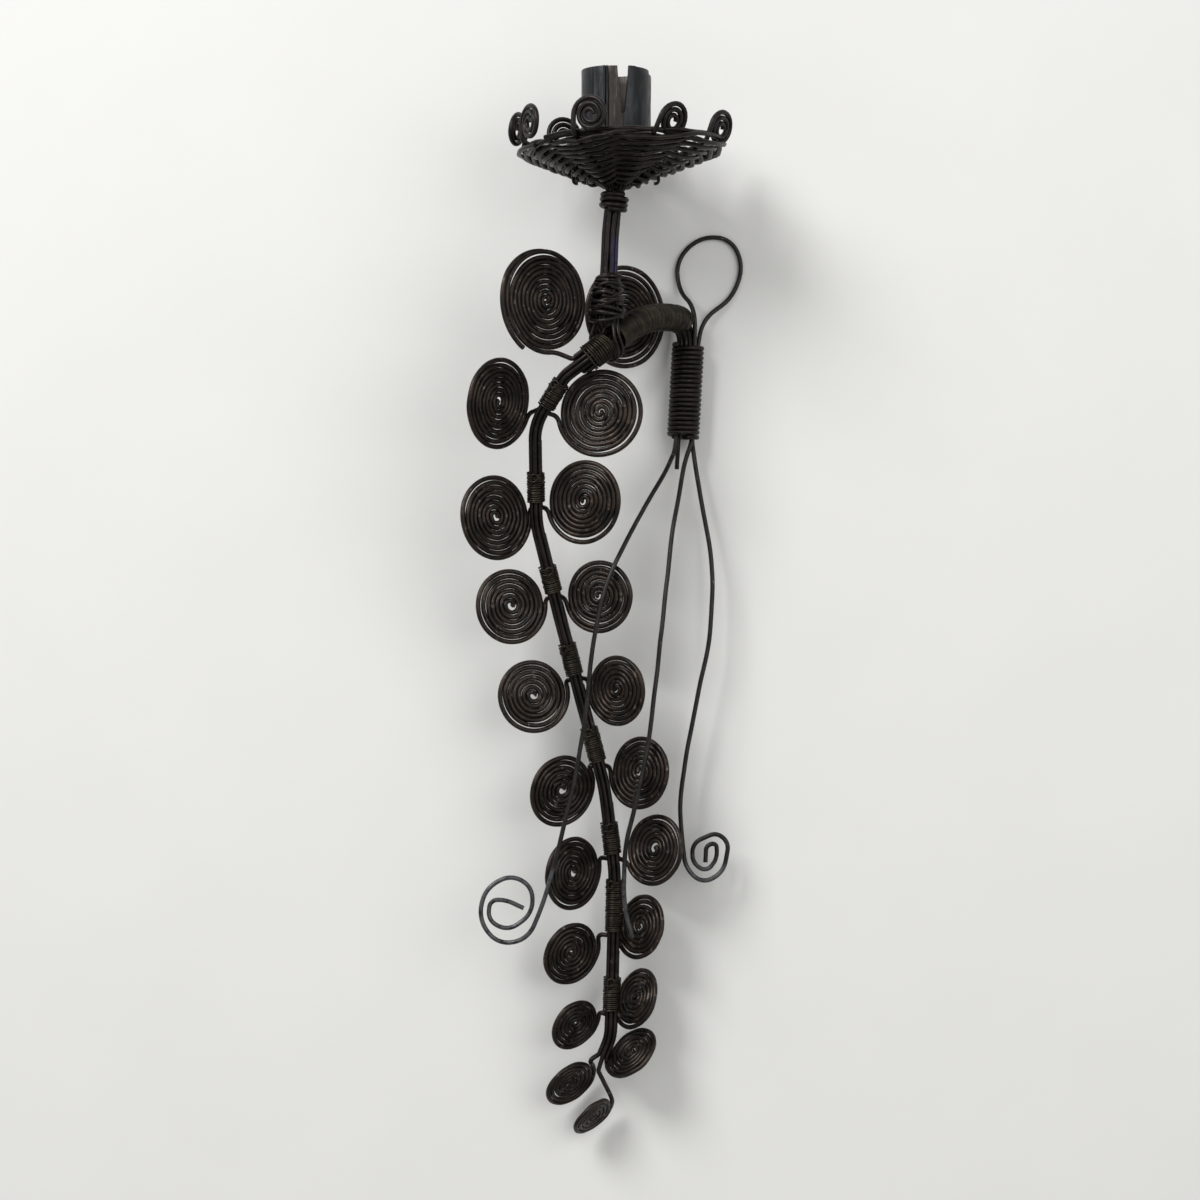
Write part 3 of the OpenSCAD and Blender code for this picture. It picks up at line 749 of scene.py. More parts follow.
@dataclass
class Backbone:
    """The line that the hanger, the arm and the vine follow, and the places across it."""

    foot: Vector = field(default_factory=lambda: Vector((-11.8, -5.5, -75.3)))
    lean: float = 3.2
    foot_inset: float = 0.3
    stem_foot: Vector = field(default_factory=lambda: Vector((-40.4, -44, -34.4)))
    hanger_length: float = 34
    roll: float = 52
    arm_rise: float = 45
    arm_top_r: float = 9
    brow: tuple[float, float] = (28, 43.5)
    elbow: tuple[float, float] = (54, 27.5)
    root_index: int = 6
    vine: list[Vector] = field(default_factory=lambda: [Vector(p) for p in (
        (-55.5, -43.5, -54.5, 12), (-66.3, -38.8, -71.5, 20), (-65.9, -31.5, -107, 40),
        (-57.5, -24, -141, 100), (-49.5, -20, -172, 300), (-41, -16.5, -204, 80),
        (-37.2, -14.5, -236, 60), (-37.8, -12.8, -262, 300), (-38.8, -11.2, -297, 20))])
    vine_end: Vector = field(default_factory=lambda: Vector((-41.8, -10.5, -304.5)))
    tip_points: list[Vector] = field(default_factory=lambda: [
        Vector((-43.4, -10, -310)), Vector((-42, -10, -319.5))])
    binding_z: tuple[float, ...] = (-60.8, -94, -127.3, -156.7, -188.2, -223, -248, -281)
    binding_turns: tuple[int, ...] = (14, 14, 13, 15, 17, 15, 25, 16)

    def __post_init__(self) -> None:
        """Works out the line from its control points."""
        self.up = Vector((math.sin(math.radians(self.lean)), 0, math.cos(math.radians(self.lean))))
        top = self.foot + self.hanger_length * self.up
        plan = Vector((self.stem_foot.x - top.x, self.stem_foot.y - top.y, 0)).normalized()
        self.arm_out = (plan - plan.dot(self.up) * self.up).normalized()
        self.arm_side = self.arm_out.cross(self.up)
        self.normal = turned(self.arm_out, self.up, self.roll)
        arm_top = self.arm_point(0, self.arm_rise)
        brow = self.arm_point(*self.brow)
        elbow = self.arm_point(*self.elbow)
        spots = [v.to_3d() for v in self.vine]
        self.binding_at = [
            spots[i].lerp(spots[i + 1], (z - spots[i].z) / (spots[i + 1].z - spots[i].z))
            for i, z in enumerate(self.binding_z)]
        points = [self.foot + self.foot_inset * self.up, Vector((*arm_top, self.arm_top_r)),
                  (arm_top + brow) / 2, brow, (brow + elbow) / 2, elbow, (elbow + spots[0]) / 2]
        for corner, held in zip(self.vine, self.binding_at):
            points += [corner, held]
        self.path = BentPath([*points, self.vine[-1], self.vine_end])

    def arm_point(self, out: float, up: float) -> Vector:
        """Returns the point that far out from the foot of the hanger and up it."""
        return self.foot + out * self.arm_out + up * self.up

    def inner_place(self, i: int) -> tuple[float, float]:
        """Returns place i of the six round the middle wire."""
        a = math.radians(60 * i)
        return LAY * math.cos(a), LAY * math.sin(a)

    def outer_place(self, i: int) -> tuple[float, float]:
        """Returns place i of the twelve round the inner wires."""
        a = math.radians(30 * i)
        return 2 * LAY * math.cos(a), 2 * LAY * math.sin(a)

    def part(self, first: int, last: int) -> BentPath:
        """Returns the path from point first to point last."""
        return BentPath(self.path.points[first:last + 1])

    def from_height(self, height: float, last: int) -> BentPath:
        """Returns the path from a height above the foot of the hanger to point last."""
        return BentPath([self.foot + height * self.up, *self.path.points[1:last + 1]])

    def in_hanger(self, i: int, height: float) -> Vector:
        """Returns the spot of outer place i in the hanger at a height above its foot."""
        x, y = self.outer_place(i)
        return self.foot + height * self.up + x * self.normal + y * self.up.cross(self.normal)

    def exit_at(self, i: int) -> float:
        """Returns how far below the middle of binding i a leaf turns off."""
        return (self.binding_turns[i] * FINE_PITCH + FINE) / 2 + EXIT_GAP + EXIT_R


@dataclass
class Maker:
    """What every maker of pieces has at hand."""

    backbone: Backbone
    finishes: Finishes


# Leaves


@dataclass
class Leaf:
    """A flat coil at the end of a wire that leaves the vine."""

    name: str
    centre: Vector
    width: float
    tilt: float
    axis_angle: float
    entry_angle: float
    side: Side = Side.LEFT
    openings: tuple[Point, ...] = ()
    pitch: float = 1.8
    eye: float = 1.0
    lead: float = 2.5
    thickness: float = THICK_WIRE
    seed: float = 1.0
    gap_rise: tuple[float, float] = (0.45, 0.4)
    gap_reach: float = 4.5
    step: float = 1.3
    least_steps: int = 10
    spring: float = 0.07
    spring_rate: tuple[float, float] = (1.3, 0.9)
    seed_step: float = 7.1
    lift: float = 0.35
    lift_rate: float = 1.4
    eye_hook: float = 0.35

    def opened(self, turn: float, angle: float) -> float:
        """Tells how far a spot of the coil is pushed in, where turns stand apart.

        Args:
            turn: How many turns from the outer end.
            angle: Where round the coil, in degrees, as the viewer sees it.

        Returns:
            The distance inwards.
        """
        pushed = 0.0
        before, over = self.gap_rise
        for at_turn, middle, spread, gap in self.openings:
            away = abs((angle - middle + 180) % 360 - 180)
            window = max(0.0, 1 - (away / spread) ** 2)
            start = min(1.0, max(0.0, (turn - at_turn + before) / over))
            spent = max(0.0, 1 - max(0.0, turn - at_turn) / self.gap_reach)
            pushed += gap * window * start * spent
        return pushed

    def coil(self, x: Vector, y: Vector) -> list[Vector]:
        """Coils the wire.

        Args:
            x: The unit vector from the centre to where the coil starts.
            y: The unit vector in which the coil sets off.

        Returns:
            The line of the coil from its outer end to its eye.
        """
        outer = self.width / 2 - WIRE / 2
        half_turns = math.floor(2 * (outer - self.eye) / self.pitch) + 1
        normal = x.cross(y)
        round_rate, turn_rate = self.spring_rate
        shift = self.seed * self.seed_step
        points = []
        for k in range(half_turns):
            sign = 1 if k % 2 == 0 else -1
            middle = self.centre - (k % 2) * self.pitch / 2 * x
            r = outer - k * self.pitch / 2
            steps = max(self.least_steps, math.ceil(math.pi * r / self.step))
            for j in range(steps + (k == half_turns - 1)):
                a = math.pi * j / steps
                turn = (k + j / steps) / 2
                spot = middle + sign * r * (math.cos(a) * x + math.sin(a) * y)
                out = (spot - self.centre).normalized()
                where = Vector((out.dot(x) * round_rate, out.dot(y) * round_rate, turn * turn_rate + shift))
                angle = math.degrees(math.atan2(out.z, out.x))
                spring = self.spring * noise.noise(where) - self.opened(turn, angle)
                lift = self.lift * noise.noise(where * self.lift_rate + UP * 31)
                points.append(spot + spring * out + lift * normal)
        eye = self.centre - (half_turns % 2) * self.pitch / 2 * x
        last = points[-1]
        for share in (0.4, 0.75, 1.0):
            hook = self.eye_hook * (1 - share) * sign
            points.append(last.lerp(eye, share) + hook * (y if share < 1 else x))
        return points

    def tilted(self, v: Vector) -> Vector:
        """Turns a vector from the viewer's upright plane into the plane of the leaf."""
        angle = math.radians(self.axis_angle)
        return turned(v, azimuth(0) * math.cos(angle) + UP * math.sin(angle), self.tilt)

    def line(self, run: list[Vector], leave: Vector) -> list[Vector]:
        """Follows the vine, turns off and coils up.

        Args:
            run: Points of the vine that the wire follows, an anchor or an anchor and corners.
            leave: The corner where it turns off.

        Returns:
            The line of the whole wire.
        """
        entry_turn = math.radians(self.entry_angle)
        sign = self.side.value
        x = self.tilted(Vector((math.cos(entry_turn), 0, math.sin(entry_turn))))
        y = self.tilted(sign * Vector((math.sin(entry_turn), 0, -math.cos(entry_turn))))
        coil = self.coil(x, y)
        entry = self.centre + (self.width / 2 - WIRE / 2) * x
        turn_in = entry - self.lead * y
        leaving = Vector((*leave, EXIT_R))
        approach = BentPath([*run, leaving, (leave + turn_in) / 2, turn_in, entry]).line()
        return approach[:-1] + coil


@dataclass
class Foliage(Maker):
    """The coiled leaves, in pairs down the vine, and the one at its tip."""

    start_gap: float = 2.5
    loose_from: float = 94
    loose_step: float = 4
    loose_steps: int = 36
    loose_rise: float = 0.07
    loose_drift: float = 0.012
    left: tuple[Point, ...] = (
        (-62, -47, -28, 38, 40, 92, -85), (-78.75, -45.5, -64, 33.75, 50, 80, -24),
        (-80.25, -37.5, -104.75, 31.75, 38, 92, 0), (-75, -26.5, -137, 28.5, 25, 95, 0),
        (-67, -21, -170, 28, 20, 95, 13), (-56.5, -19.5, -204.75, 28.5, 36, 70, 26),
        (-52.5, -18.5, -235.25, 28.5, 45, 84, 8), (-53, -15, -265.25, 25.5, 39, 65, 15),
        (-51.5, -14, -291.75, 22, 45, 55, 0), (-53.5, -10, -314, 22, 51, 45, 40))
    right: tuple[Point, ...] = (
        (-34, -13.5, -30, 38.5, 37, 88, 225), (-43, -40.5, -67.25, 32.5, -15, 80, 193),
        (-49, -36.5, -99.25, 31.25, -29, 90, 199), (-43.5, -27, -133.5, 27.5, -24, 92, 196),
        (-37, -23.5, -167.75, 27.25, -39, 96, 177), (-28.5, -20, -198.25, 27.75, -38, 84, 184),
        (-23, -18, -227, 27, -40, 76, 212), (-28, -13, -256, 24.5, -48, 72, 225),
        (-29.5, -10.5, -283, 23.5, -55, 65, 236), (-31.5, -14, -302.5, 22.5, -60, 40, 206))
    tip: Point = (-45, -11.5, -326, 19, 62, 45, 20)
    slots: dict[Side, tuple[int, int]] = field(default_factory=lambda: {
        Side.LEFT: (3, 6), Side.RIGHT: (5, 10)})
    openings: dict[str, tuple[Point, ...]] = field(default_factory=lambda: {
        "left_leaf_1": ((1, 130, 60, 0.5), (2.1, 40, 40, 0.4), (1, 25, 25, 0.4), (1, 215, 30, 0.45)),
        "right_leaf_1": ((1, 40, 75, 0.6), (2, 60, 40, 0.5), (1, -50, 45, 0.55), (2, -70, 35, 0.4),
                         (6, 130, 60, 0.3)),
        "right_leaf_2": ((1, -20, 80, 0.55),), "left_leaf_2": ((1, 75, 30, 0.4), (1, -60, 40, 0.4)),
        "right_leaf_3": ((1, -90, 70, 0.6),), "left_leaf_7": ((1, 180, 100, 0.6),),
        "right_leaf_7": ((1, 10, 100, 0.6),)})

    def leaf(self, side: Side, i: int) -> Leaf:
        """Looks up a leaf.

        Args:
            side: The side of the vine.
            i: The number of the leaf on that side, from 0.

        Returns:
            The leaf, with the gaps between its turns.
        """
        spec = (self.left if side is Side.LEFT else self.right)[i]
        name = f"{side.name.lower()}_leaf_{i + 1}"
        seed = i + 1 + 20 * (side is Side.RIGHT)
        usual = ((1, 47 * seed % 360, 55, 0.35), (2.2, 131 * seed % 360, 40, 0.25))
        return Leaf(name, Vector(spec[:3]), *spec[3:], side=side, seed=seed,
                    openings=self.openings.get(name, usual))

    def root_line(self, leaf: Leaf) -> list[Vector]:
        """Lays the wire of a leaf of the first pair, which runs through hanger and arm.

        Args:
            leaf: The leaf.

        Returns:
            The line of the wire.
        """
        bone = self.backbone
        place = bone.outer_place(self.slots[leaf.side][1])
        height = bone.foot_inset if leaf.side is Side.LEFT else LOOP_GRIP
        run = bone.from_height(height, bone.root_index).beside(bone.normal, place)
        leave = run.at(-1) + (EXIT_GAP + EXIT_R) * bone.path.run_out(bone.root_index - 1)
        return leaf.line(run.points, leave)

    def vine_line(self, leaf: Leaf, i: int) -> list[Vector]:
        """Lays the wire of a leaf in the vine, from below the binding above to its own.

        Args:
            leaf: The leaf.
            i: The number of its own binding, or one more than the last for the lowest pair.

        Returns:
            The line of the wire.
        """
        bone = self.backbone
        path = bone.path
        x, y = bone.inner_place(self.slots[leaf.side][0])
        corner = bone.root_index + 1 + 2 * i
        v = path.run_out(corner)
        start = LAY_GAP if i == 0 else bone.exit_at(i - 1) + self.start_gap
        straight_run = (path.at(corner) - path.at(corner - 1)).length
        room = straight_run - path.bend_run(corner) - path.least_run
        last = i == len(bone.binding_at)
        below = (path.at(-2) + bone.vine_end) / 2
        held_at = below if last else bone.binding_at[i]
        held_for = (bone.vine_end - path.at(-2)).length / 2 if last else bone.exit_at(i)
        n = path.carried_to(bone.normal, corner)
        across = x * n + y * v.cross(n)
        run = [path.bend_end(corner) + across]
        if start < room:
            begin = path.at(corner - 1) + start * path.run_in(corner)
            above = path.carried_to(bone.normal, corner - 2)
            run = BentPath([begin, path.points[corner], held_at]).beside(above, (x, y)).points
        return leaf.line(run, held_at + held_for * v + across)

    def build(self) -> None:
        """Builds and dresses all the leaves."""
        for side in Side:
            for i in range(len(self.left)):
                leaf = self.leaf(side, i)
                line = self.root_line(leaf) if i == 0 else self.vine_line(leaf, i - 1)
                wires = [WireLine(line, leaf.thickness)]
                if i == 0 and side is Side.LEFT:
                    wires.append(WireLine(self.loose_end(leaf), leaf.thickness))
                fit_wires(f"{leaf.name}_coil", wires, self.finishes.leaf, leaf.name)
        self.build_tip()

    def loose_end(self, leaf: Leaf) -> list[Vector]:
        """Lays the cut end along the left of the first left leaf.

        Args:
            leaf: The leaf.

        Returns:
            The line of the wire.
        """
        points = []
        for step in range(self.loose_steps + 1):
            a = math.radians(self.loose_from + self.loose_step * step)
            way = leaf.tilted(Vector((math.cos(a), 0, math.sin(a))))
            beside_turn = WIRE * min(0.5, self.loose_rise * step - 0.5) + self.loose_drift * step
            points.append(leaf.centre + (leaf.width / 2 + beside_turn) * way)
        return points

    def build_tip(self) -> None:
        """Builds the leaf at the tip, which goes on from the middle wire of the vine."""
        bone = self.backbone
        path = bone.path
        leaf = Leaf("tip_leaf", Vector(self.tip[:3]), *self.tip[3:], seed=50)
        run = [path.at(-3) + LAY_GAP * path.run_in(len(path.points) - 2), path.points[-2],
               (path.at(-2) + bone.vine_end) / 2, bone.vine_end,
               (bone.vine_end + bone.tip_points[0]) / 2]
        line = leaf.line(run, bone.tip_points[0])
        fit_wires(f"{leaf.name}_coil", [WireLine(line)], self.finishes.leaf, leaf.name)


# Bindings of fine wire


@dataclass
class Bindings(Maker):
    """Fine wire wound round the vine, each with a folded end that bulges on the front."""

    radius: float = BUNDLE_R + FINE / 2 + LAY_GAP
    slack: float = 0.28
    overrun: float = 2
    fold_size: float = 2.2
    fold_inset: float = 1.2
    fold_turns: tuple[float, ...] = (20, 8, -4)
    fold_step: float = 0.4
    fold_shape: tuple[Point, ...] = (
        (-0.5, -1.4, -0.6), (-0.35, -0.8, 0), (-0.62, -0.2, 0.3), (-0.4, 0.4, 0.5),
        (0.1, 0.62, 0.5), (0.55, 0.35, 0.4), (0.6, -0.15, 0.2), (0.3, -0.6, 0.1),
        (-0.1, -0.75, 0.1), (-0.6, -0.7, -0.2), (-1.1, -0.6, -1))

    def fold(self, centre: Vector, up: Vector, out: Vector, size: float) -> list[Vector]:
        """Folds the end of a wire over its binding.

        Args:
            centre: The point of the bundle's line behind the fold.
            up: The unit vector along the bundle.
            out: The unit vector from the bundle to the fold.
            size: The length of the fold.

        Returns:
            The line of the fold.
        """
        across = up.cross(out)
        reach = self.radius + FINE
        return anchored([centre + size * (a * across + b * up) + (reach + c * FINE) * out
                         for a, b, c in self.fold_shape]).line(self.fold_step)

    def build(self) -> None:
        """Builds and dresses the bindings of the vine."""
        bone = self.backbone
        for i, (middle, turns) in enumerate(zip(bone.binding_at, bone.binding_turns)):
            down = bone.path.run_out(bone.root_index + 1 + 2 * i)
            half = turns * FINE_PITCH / 2
            reach = down * (half + self.overrun)
            side = down.cross(FRONT).normalized()
            out = turned(side.cross(down), down, self.fold_turns[i % len(self.fold_turns)])
            lines = [
                wound(straight_path(middle - reach, middle + reach), side, self.overrun, turns,
                      self.radius, FINE_PITCH, self.slack, i + 1),
                self.fold(middle - down * (half - self.fold_inset), -down, out, self.fold_size)]
            wires = [WireLine(line, FINE) for line in lines]
            node = f"binding_{i + 2}"
            fit_wires(f"{node}_winding", wires, self.finishes.fine, node, sides=8)


# Hanger and arm


@dataclass
class Hanger(Maker):
    """The upright bundle at the wall, its thick winding, the loop for the nail and the tendrils."""

    turns: float = 19.8
    slack: float = 0.14
    overrun: float = 3
    tendril_grip: float = 16.5
    loop_leg_top: float = 34.5
    loop_slots: tuple[int, int] = (3, 1)
    loop_points: tuple[Point, ...] = (
        (-4.2, -2.4, -30), (7.2, 0, -21.5), (11, 0, -10), (6.5, 0, 0.85), (-6.2, 0, 0.85),
        (-14.3, 0, -8), (-13, -0.8, -19.5), (-7.6, -9.4, -26))
    left_points: tuple[Point, ...] = (
        (-15, -9.5, -80), (-20, -18, -90), (-31.5, -29.5, -110), (-41, -35, -129),
        (-45.5, -34.5, -152), (-48.5, -32, -182), (-53, -31, -206), (-59.5, -31, -232),
        (-64, -30.5, -247), (-69, -28.5, -259), (-80, -26.5, -261.5), (-87.5, -26.5, -252),
        (-84.5, -26, -240.5), (-75.5, -25.5, -235.5), (-67.5, -25, -240), (-67.5, -24.5, -250),
        (-76.5, -24.5, -256.5), (-84, -24.5, -252.5), (-83, -24.5, -245), (-77, -24.5, -245),
        (-70.7, -24.5, -248))
    middle_points: tuple[Point, ...] = (
        (-11, -9.5, -82.5), (-13.5, -14, -95), (-17.5, -23, -120), (-20, -27.5, -144),
        (-24, -28, -181), (-29.5, -28, -209), (-34, -27, -227), (-34.3, -24, -246),
        (-30.6, -21.5, -259))
    right_points: tuple[Point, ...] = (
        (-7.5, -8, -82), (-4.5, -10, -102), (-0.5, -12, -124), (-2, -12.5, -150),
        (-10, -12.5, -187), (-13, -12.5, -208), (-12.5, -12.5, -223), (-11, -12.5, -234.5),
        (-5, -12.5, -240), (3, -12.5, -236), (5, -12.5, -225), (0.5, -12, -221),
        (-8.5, -11.5, -225), (-8.5, -11, -232.5), (-3.5, -11, -236), (0.6, -11, -231),
        (0.4, -11, -225), (-3.4, -11, -226), (-3.8, -11, -232.3))

    def build(self) -> None:
        """Builds and dresses the winding, the loop and the tendrils."""
        bone = self.backbone
        bottom = bone.foot + bone.up * (WIRE / 2)
        path = straight_path(bottom - bone.up * self.overrun,
                             bottom + bone.up * (self.turns * LAY + self.overrun))
        winding = wound(path, bone.normal, self.overrun, self.turns, ARM_R + WIRE / 2 + LAY_GAP, LAY,
                        self.slack, seed=3)
        wires = [WireLine(winding, THICK_WIRE)]
        fit_wires("hanger_winding", wires, self.finishes.black, "hanger_wrap")
        right, left = self.loop_slots
        loop = anchored([
            bone.in_hanger(right, LOOP_GRIP), bone.in_hanger(right, self.loop_leg_top),
            *(Vector(p) for p in self.loop_points),
            bone.in_hanger(left, self.loop_leg_top), bone.in_hanger(left, LOOP_GRIP)])
        bent = hand_bent(loop.line(), amount=0.15, wave=9, seed=2)
        fit_wires("nail_loop", [WireLine(bent)], self.finishes.grey, "hanging_loop")
        tendrils = (("left", 10, self.left_points), ("middle", 2, self.middle_points),
                    ("right", 3, self.right_points))
        for name, slot, points in tendrils:
            line = anchored([bone.in_hanger(slot, self.tendril_grip), bone.in_hanger(slot, 0),
                             *(Vector(p) for p in points)]).line()
            bent = hand_bent(line, amount=0.35, wave=16, seed=slot)
            node = f"{name}_tendril"
            fit_wires(f"{node}_wire", [WireLine(bent)], self.finishes.grey, node)


@dataclass
class Arm(Maker):
    """The thick bundle that swings out from the wall, with its windings of fine wire."""

    packing: tuple[int, ...] = (5, 7, 8, 9, 11)
    spine: tuple[int, ...] = (0, 1, 2)
    leaf_slots: tuple[int, ...] = (3, 5)
    stub_slot: int = 4
    stub: float = 11
    wrap_from: float = 44.8
    wrap_turns: float = 58
    root_at: float = 97.2
    root_turns: float = 11
    pitch: float = 0.74

    def build(self) -> None:
        """Builds and dresses the wires of the arm and vine and their windings."""
        bone = self.backbone
        last = len(bone.path.points) - 1
        wires = [WireLine(bone.part(0, last - 2).line())]
        wires += [WireLine(bone.path.beside(bone.normal, bone.inner_place(i)).line())
                  for i in self.spine]
        to_root = bone.part(0, bone.root_index)
        wires += [WireLine(to_root.beside(bone.normal, bone.inner_place(i)).line())
                  for i in self.leaf_slots]
        stub = bone.from_height(-self.stub, last).beside(bone.normal, bone.inner_place(self.stub_slot))
        wires.append(WireLine(stub.line()))
        fit_wires("spine_bundle", wires, self.finishes.black, "spine_wires")
        wires = [WireLine(to_root.beside(bone.normal, bone.outer_place(i)).line())
                 for i in self.packing]
        fit_wires("arm_packing_wires", wires, self.finishes.black, "arm_packing")
        radius = ARM_R + FINE / 2 + LAY_GAP
        root_from = self.root_at - self.root_turns * self.pitch / 2
        windings = (("arm", self.wrap_from, self.wrap_turns, 0.25, 11),
                    ("root", root_from, self.root_turns, 0.3, 12))
        for name, start, turns, slack, seed in windings:
            line = wound(bone.path, bone.normal, start, turns, radius, self.pitch, slack, seed)
            wires = [WireLine(line, FINE)]
            fit_wires(f"{name}_winding", wires, self.finishes.fine, f"{name}_wrap", sides=8)


# Stem, drip pan and candle cup


@dataclass
class Stem(Maker):
    """Eight wires bound side by side, which splay out as the ribs of the pan and end in curls."""

    pan: Vector = field(default_factory=lambda: Vector((PAN_X, PAN_Y, 0)))
    bend: Vector = field(default_factory=lambda: Vector((-38.9, PAN_Y, 0)))
    ring_r: float = 2.35
    rib_z: float = 13.5
    rim_r: float = 37
    slope: float = 23
    phase: float = 246
    rib_step: float = 45
    neck_bend_r: float = 4
    rim_bend_r: float = 2.5
    curl_r: float = 6.8
    curl_pitch: float = 2.05
    half_turns: int = 5
    rim_pulls: tuple[float, ...] = (0, 0, 2, 0.5, 0, 0, 0, 1)
    rises: tuple[float, ...] = (5.8, 5.8, 5.8, 5.6, 5.6, 9.5, 7, 6)
    leans: tuple[float, ...] = (0, 10, 12, 30, 10, 5, 0, 5)
    twists: tuple[float, ...] = (0, 21, -12, -21, 0, 0, 0, 6)
    sways: tuple[float, ...] = (0, 0.34, 0.1, 0.2, 0, 0, 0.1, 0.12)
    curl_steps: int = 12
    curl_thickness: float = 1.85
    collar_d: float = 2
    collar_at: float = 8.3
    collar_reach: float = 6
    collar_turns: float = 3.2
    collar_pitch: float = 1.85
    collar_azimuth: float = 250
    knot_turns: float = 7
    knot_base: float = 2.5
    lash_steps: int = 26
    lash_points: int = 30
    lash_taper: float = 0.022
    lash_spread: float = 0.02
    lash_climb: float = 0.05
    tie_at: float = 92.2
    tie_slack: float = 0.4
    tie_hip: float = 3
    tie_bend_r: float = 3
    tie_run: float = 0.2
    lashings: tuple[Point, ...] = (
        (1.8, 12, 200, 1, 1.7), (3.4, 17, 230, 2, 1.7), (5.0, 11, 300, 3, 1.7), (6.6, 19, 250, 4, 1.6),
        (8.3, 14, 205, 5, 1.6), (10.0, 20, 285, 6, 1.5), (11.7, 13, 235, 7, 1.5), (13.0, 18, 265, 8, 1.4),
        (14.2, 10, 300, 14, 1.3), (5.2, 26, 160, 9, 1.5), (7.4, 27, 20, 10, 1.4), (9.8, 20, 190, 11, 1.3),
        (3.6, 30, 335, 12, 1.4), (1.2, 26, 60, 13, 1.5))

    def __post_init__(self) -> None:
        """Works out the places of the neck and the lean of the stem."""
        self.foot = self.backbone.stem_foot
        self.neck = Vector((self.pan.x, self.pan.y, self.rib_z))
        self.rib_lift = (self.rim_r - self.ring_r) * math.tan(math.radians(self.slope))
        self.lean = (self.bend - self.foot).normalized()

    def rib(self, k: int) -> list[Vector]:
        """Lays a rib from the foot of the stem to the eye of its curl.

        Args:
            k: The number of the rib, from 0.

        Returns:
            The line of the wire.
        """
        out = azimuth(self.phase + self.rib_step * k)
        right = UP.cross(out)
        offset = self.ring_r * out
        rim = Vector((self.pan.x, self.pan.y, self.rib_z + self.rib_lift))
        rim += (self.rim_r - self.rim_pulls[k]) * out
        lean = math.radians(self.leans[k])
        rise = UP * math.cos(lean) + out * math.sin(lean) + Vector((self.sways[k], 0, 0))
        rise.normalize()
        right = turned((right - right.dot(rise) * rise).normalized(), rise, self.twists[k])
        start = rim + self.rises[k] * rise
        path = BentPath([
            self.foot + offset, self.bend + offset, (self.bend + self.neck) / 2 + offset,
            Vector((*(self.neck + offset), self.neck_bend_r)), (self.neck + offset + rim) / 2,
            Vector((*rim, self.rim_bend_r)), start])
        coil_r = self.curl_r - WIRE / 2
        centre = start + coil_r * right
        points = path.line()[:-1]
        for j in range(self.half_turns):
            sign = 1 if j % 2 == 0 else -1
            middle = centre + (j % 2) * self.curl_pitch / 2 * right
            r = coil_r - j * self.curl_pitch / 2
            for step in range(self.curl_steps + (j == self.half_turns - 1)):
                a = math.pi * step / self.curl_steps
                points.append(middle + sign * r * (rise * math.sin(a) - right * math.cos(a)))
        return hand_bent(points, amount=0.22, wave=7, seed=k + 1)

    def build(self) -> None:
        """Builds and dresses the ribs, the core, the collar, the knot and the ties."""
        for k in range(len(self.leans)):
            wires = [WireLine(self.rib(k), self.curl_thickness)]
            fit_wires(f"rib_{k + 1}_wire", wires, self.finishes.stem, f"rib_{k + 1}")
        core = BentPath([self.foot, self.bend, self.neck]).line()
        fit_wires("stem_core_wire", [WireLine(core)], self.finishes.stem, "stem_core")
        up = (self.neck - self.bend).normalized()
        middle = self.bend + up * self.collar_at
        reach = up * self.collar_reach
        radius = self.ring_r + WIRE / 2 + self.collar_d / 2 + LAY_GAP
        start = self.collar_reach - self.collar_turns / 2 * self.collar_pitch
        line = wound(straight_path(middle - reach, middle + reach), azimuth(self.collar_azimuth),
                     start, self.collar_turns, radius, self.collar_pitch, slack=0.5, seed=5)
        wires = [WireLine(line, self.collar_d)]
        fit_wires("neck_binding", wires, self.finishes.black, "neck_collar")
        self.build_knot()

    def lashing(self, radius: float, height: float, tilt: float, face: float,
                seed: float) -> list[Vector]:
        """Winds one and a bit untidy turns round the foot of the stem.

        Args:
            radius: The radius of the turn at the knot's foot.
            height: The height of its middle above the foot of the stem.
            tilt: How steeply it crosses, in degrees.
            face: The azimuth at which it is highest, in degrees.
            seed: Number that makes each turn stray in its own way.

        Returns:
            The line of the turn.
        """
        side = azimuth(face)
        side = (side - side.dot(self.lean) * self.lean).normalized()
        other = self.lean.cross(side)
        narrow = 1 - self.lash_taper * height
        points = []
        for k in range(self.lash_points):
            a = 2 * math.pi * k / self.lash_steps
            r = radius * narrow + self.lash_spread * k
            lift = height + r * math.tan(math.radians(tilt)) * math.cos(a) + self.lash_climb * k
            level = r * (math.cos(a) * side + math.sin(a) * other)
            points.append(self.foot + lift * self.lean + level)
        return hand_bent(points, amount=0.45, wave=5, seed=seed)

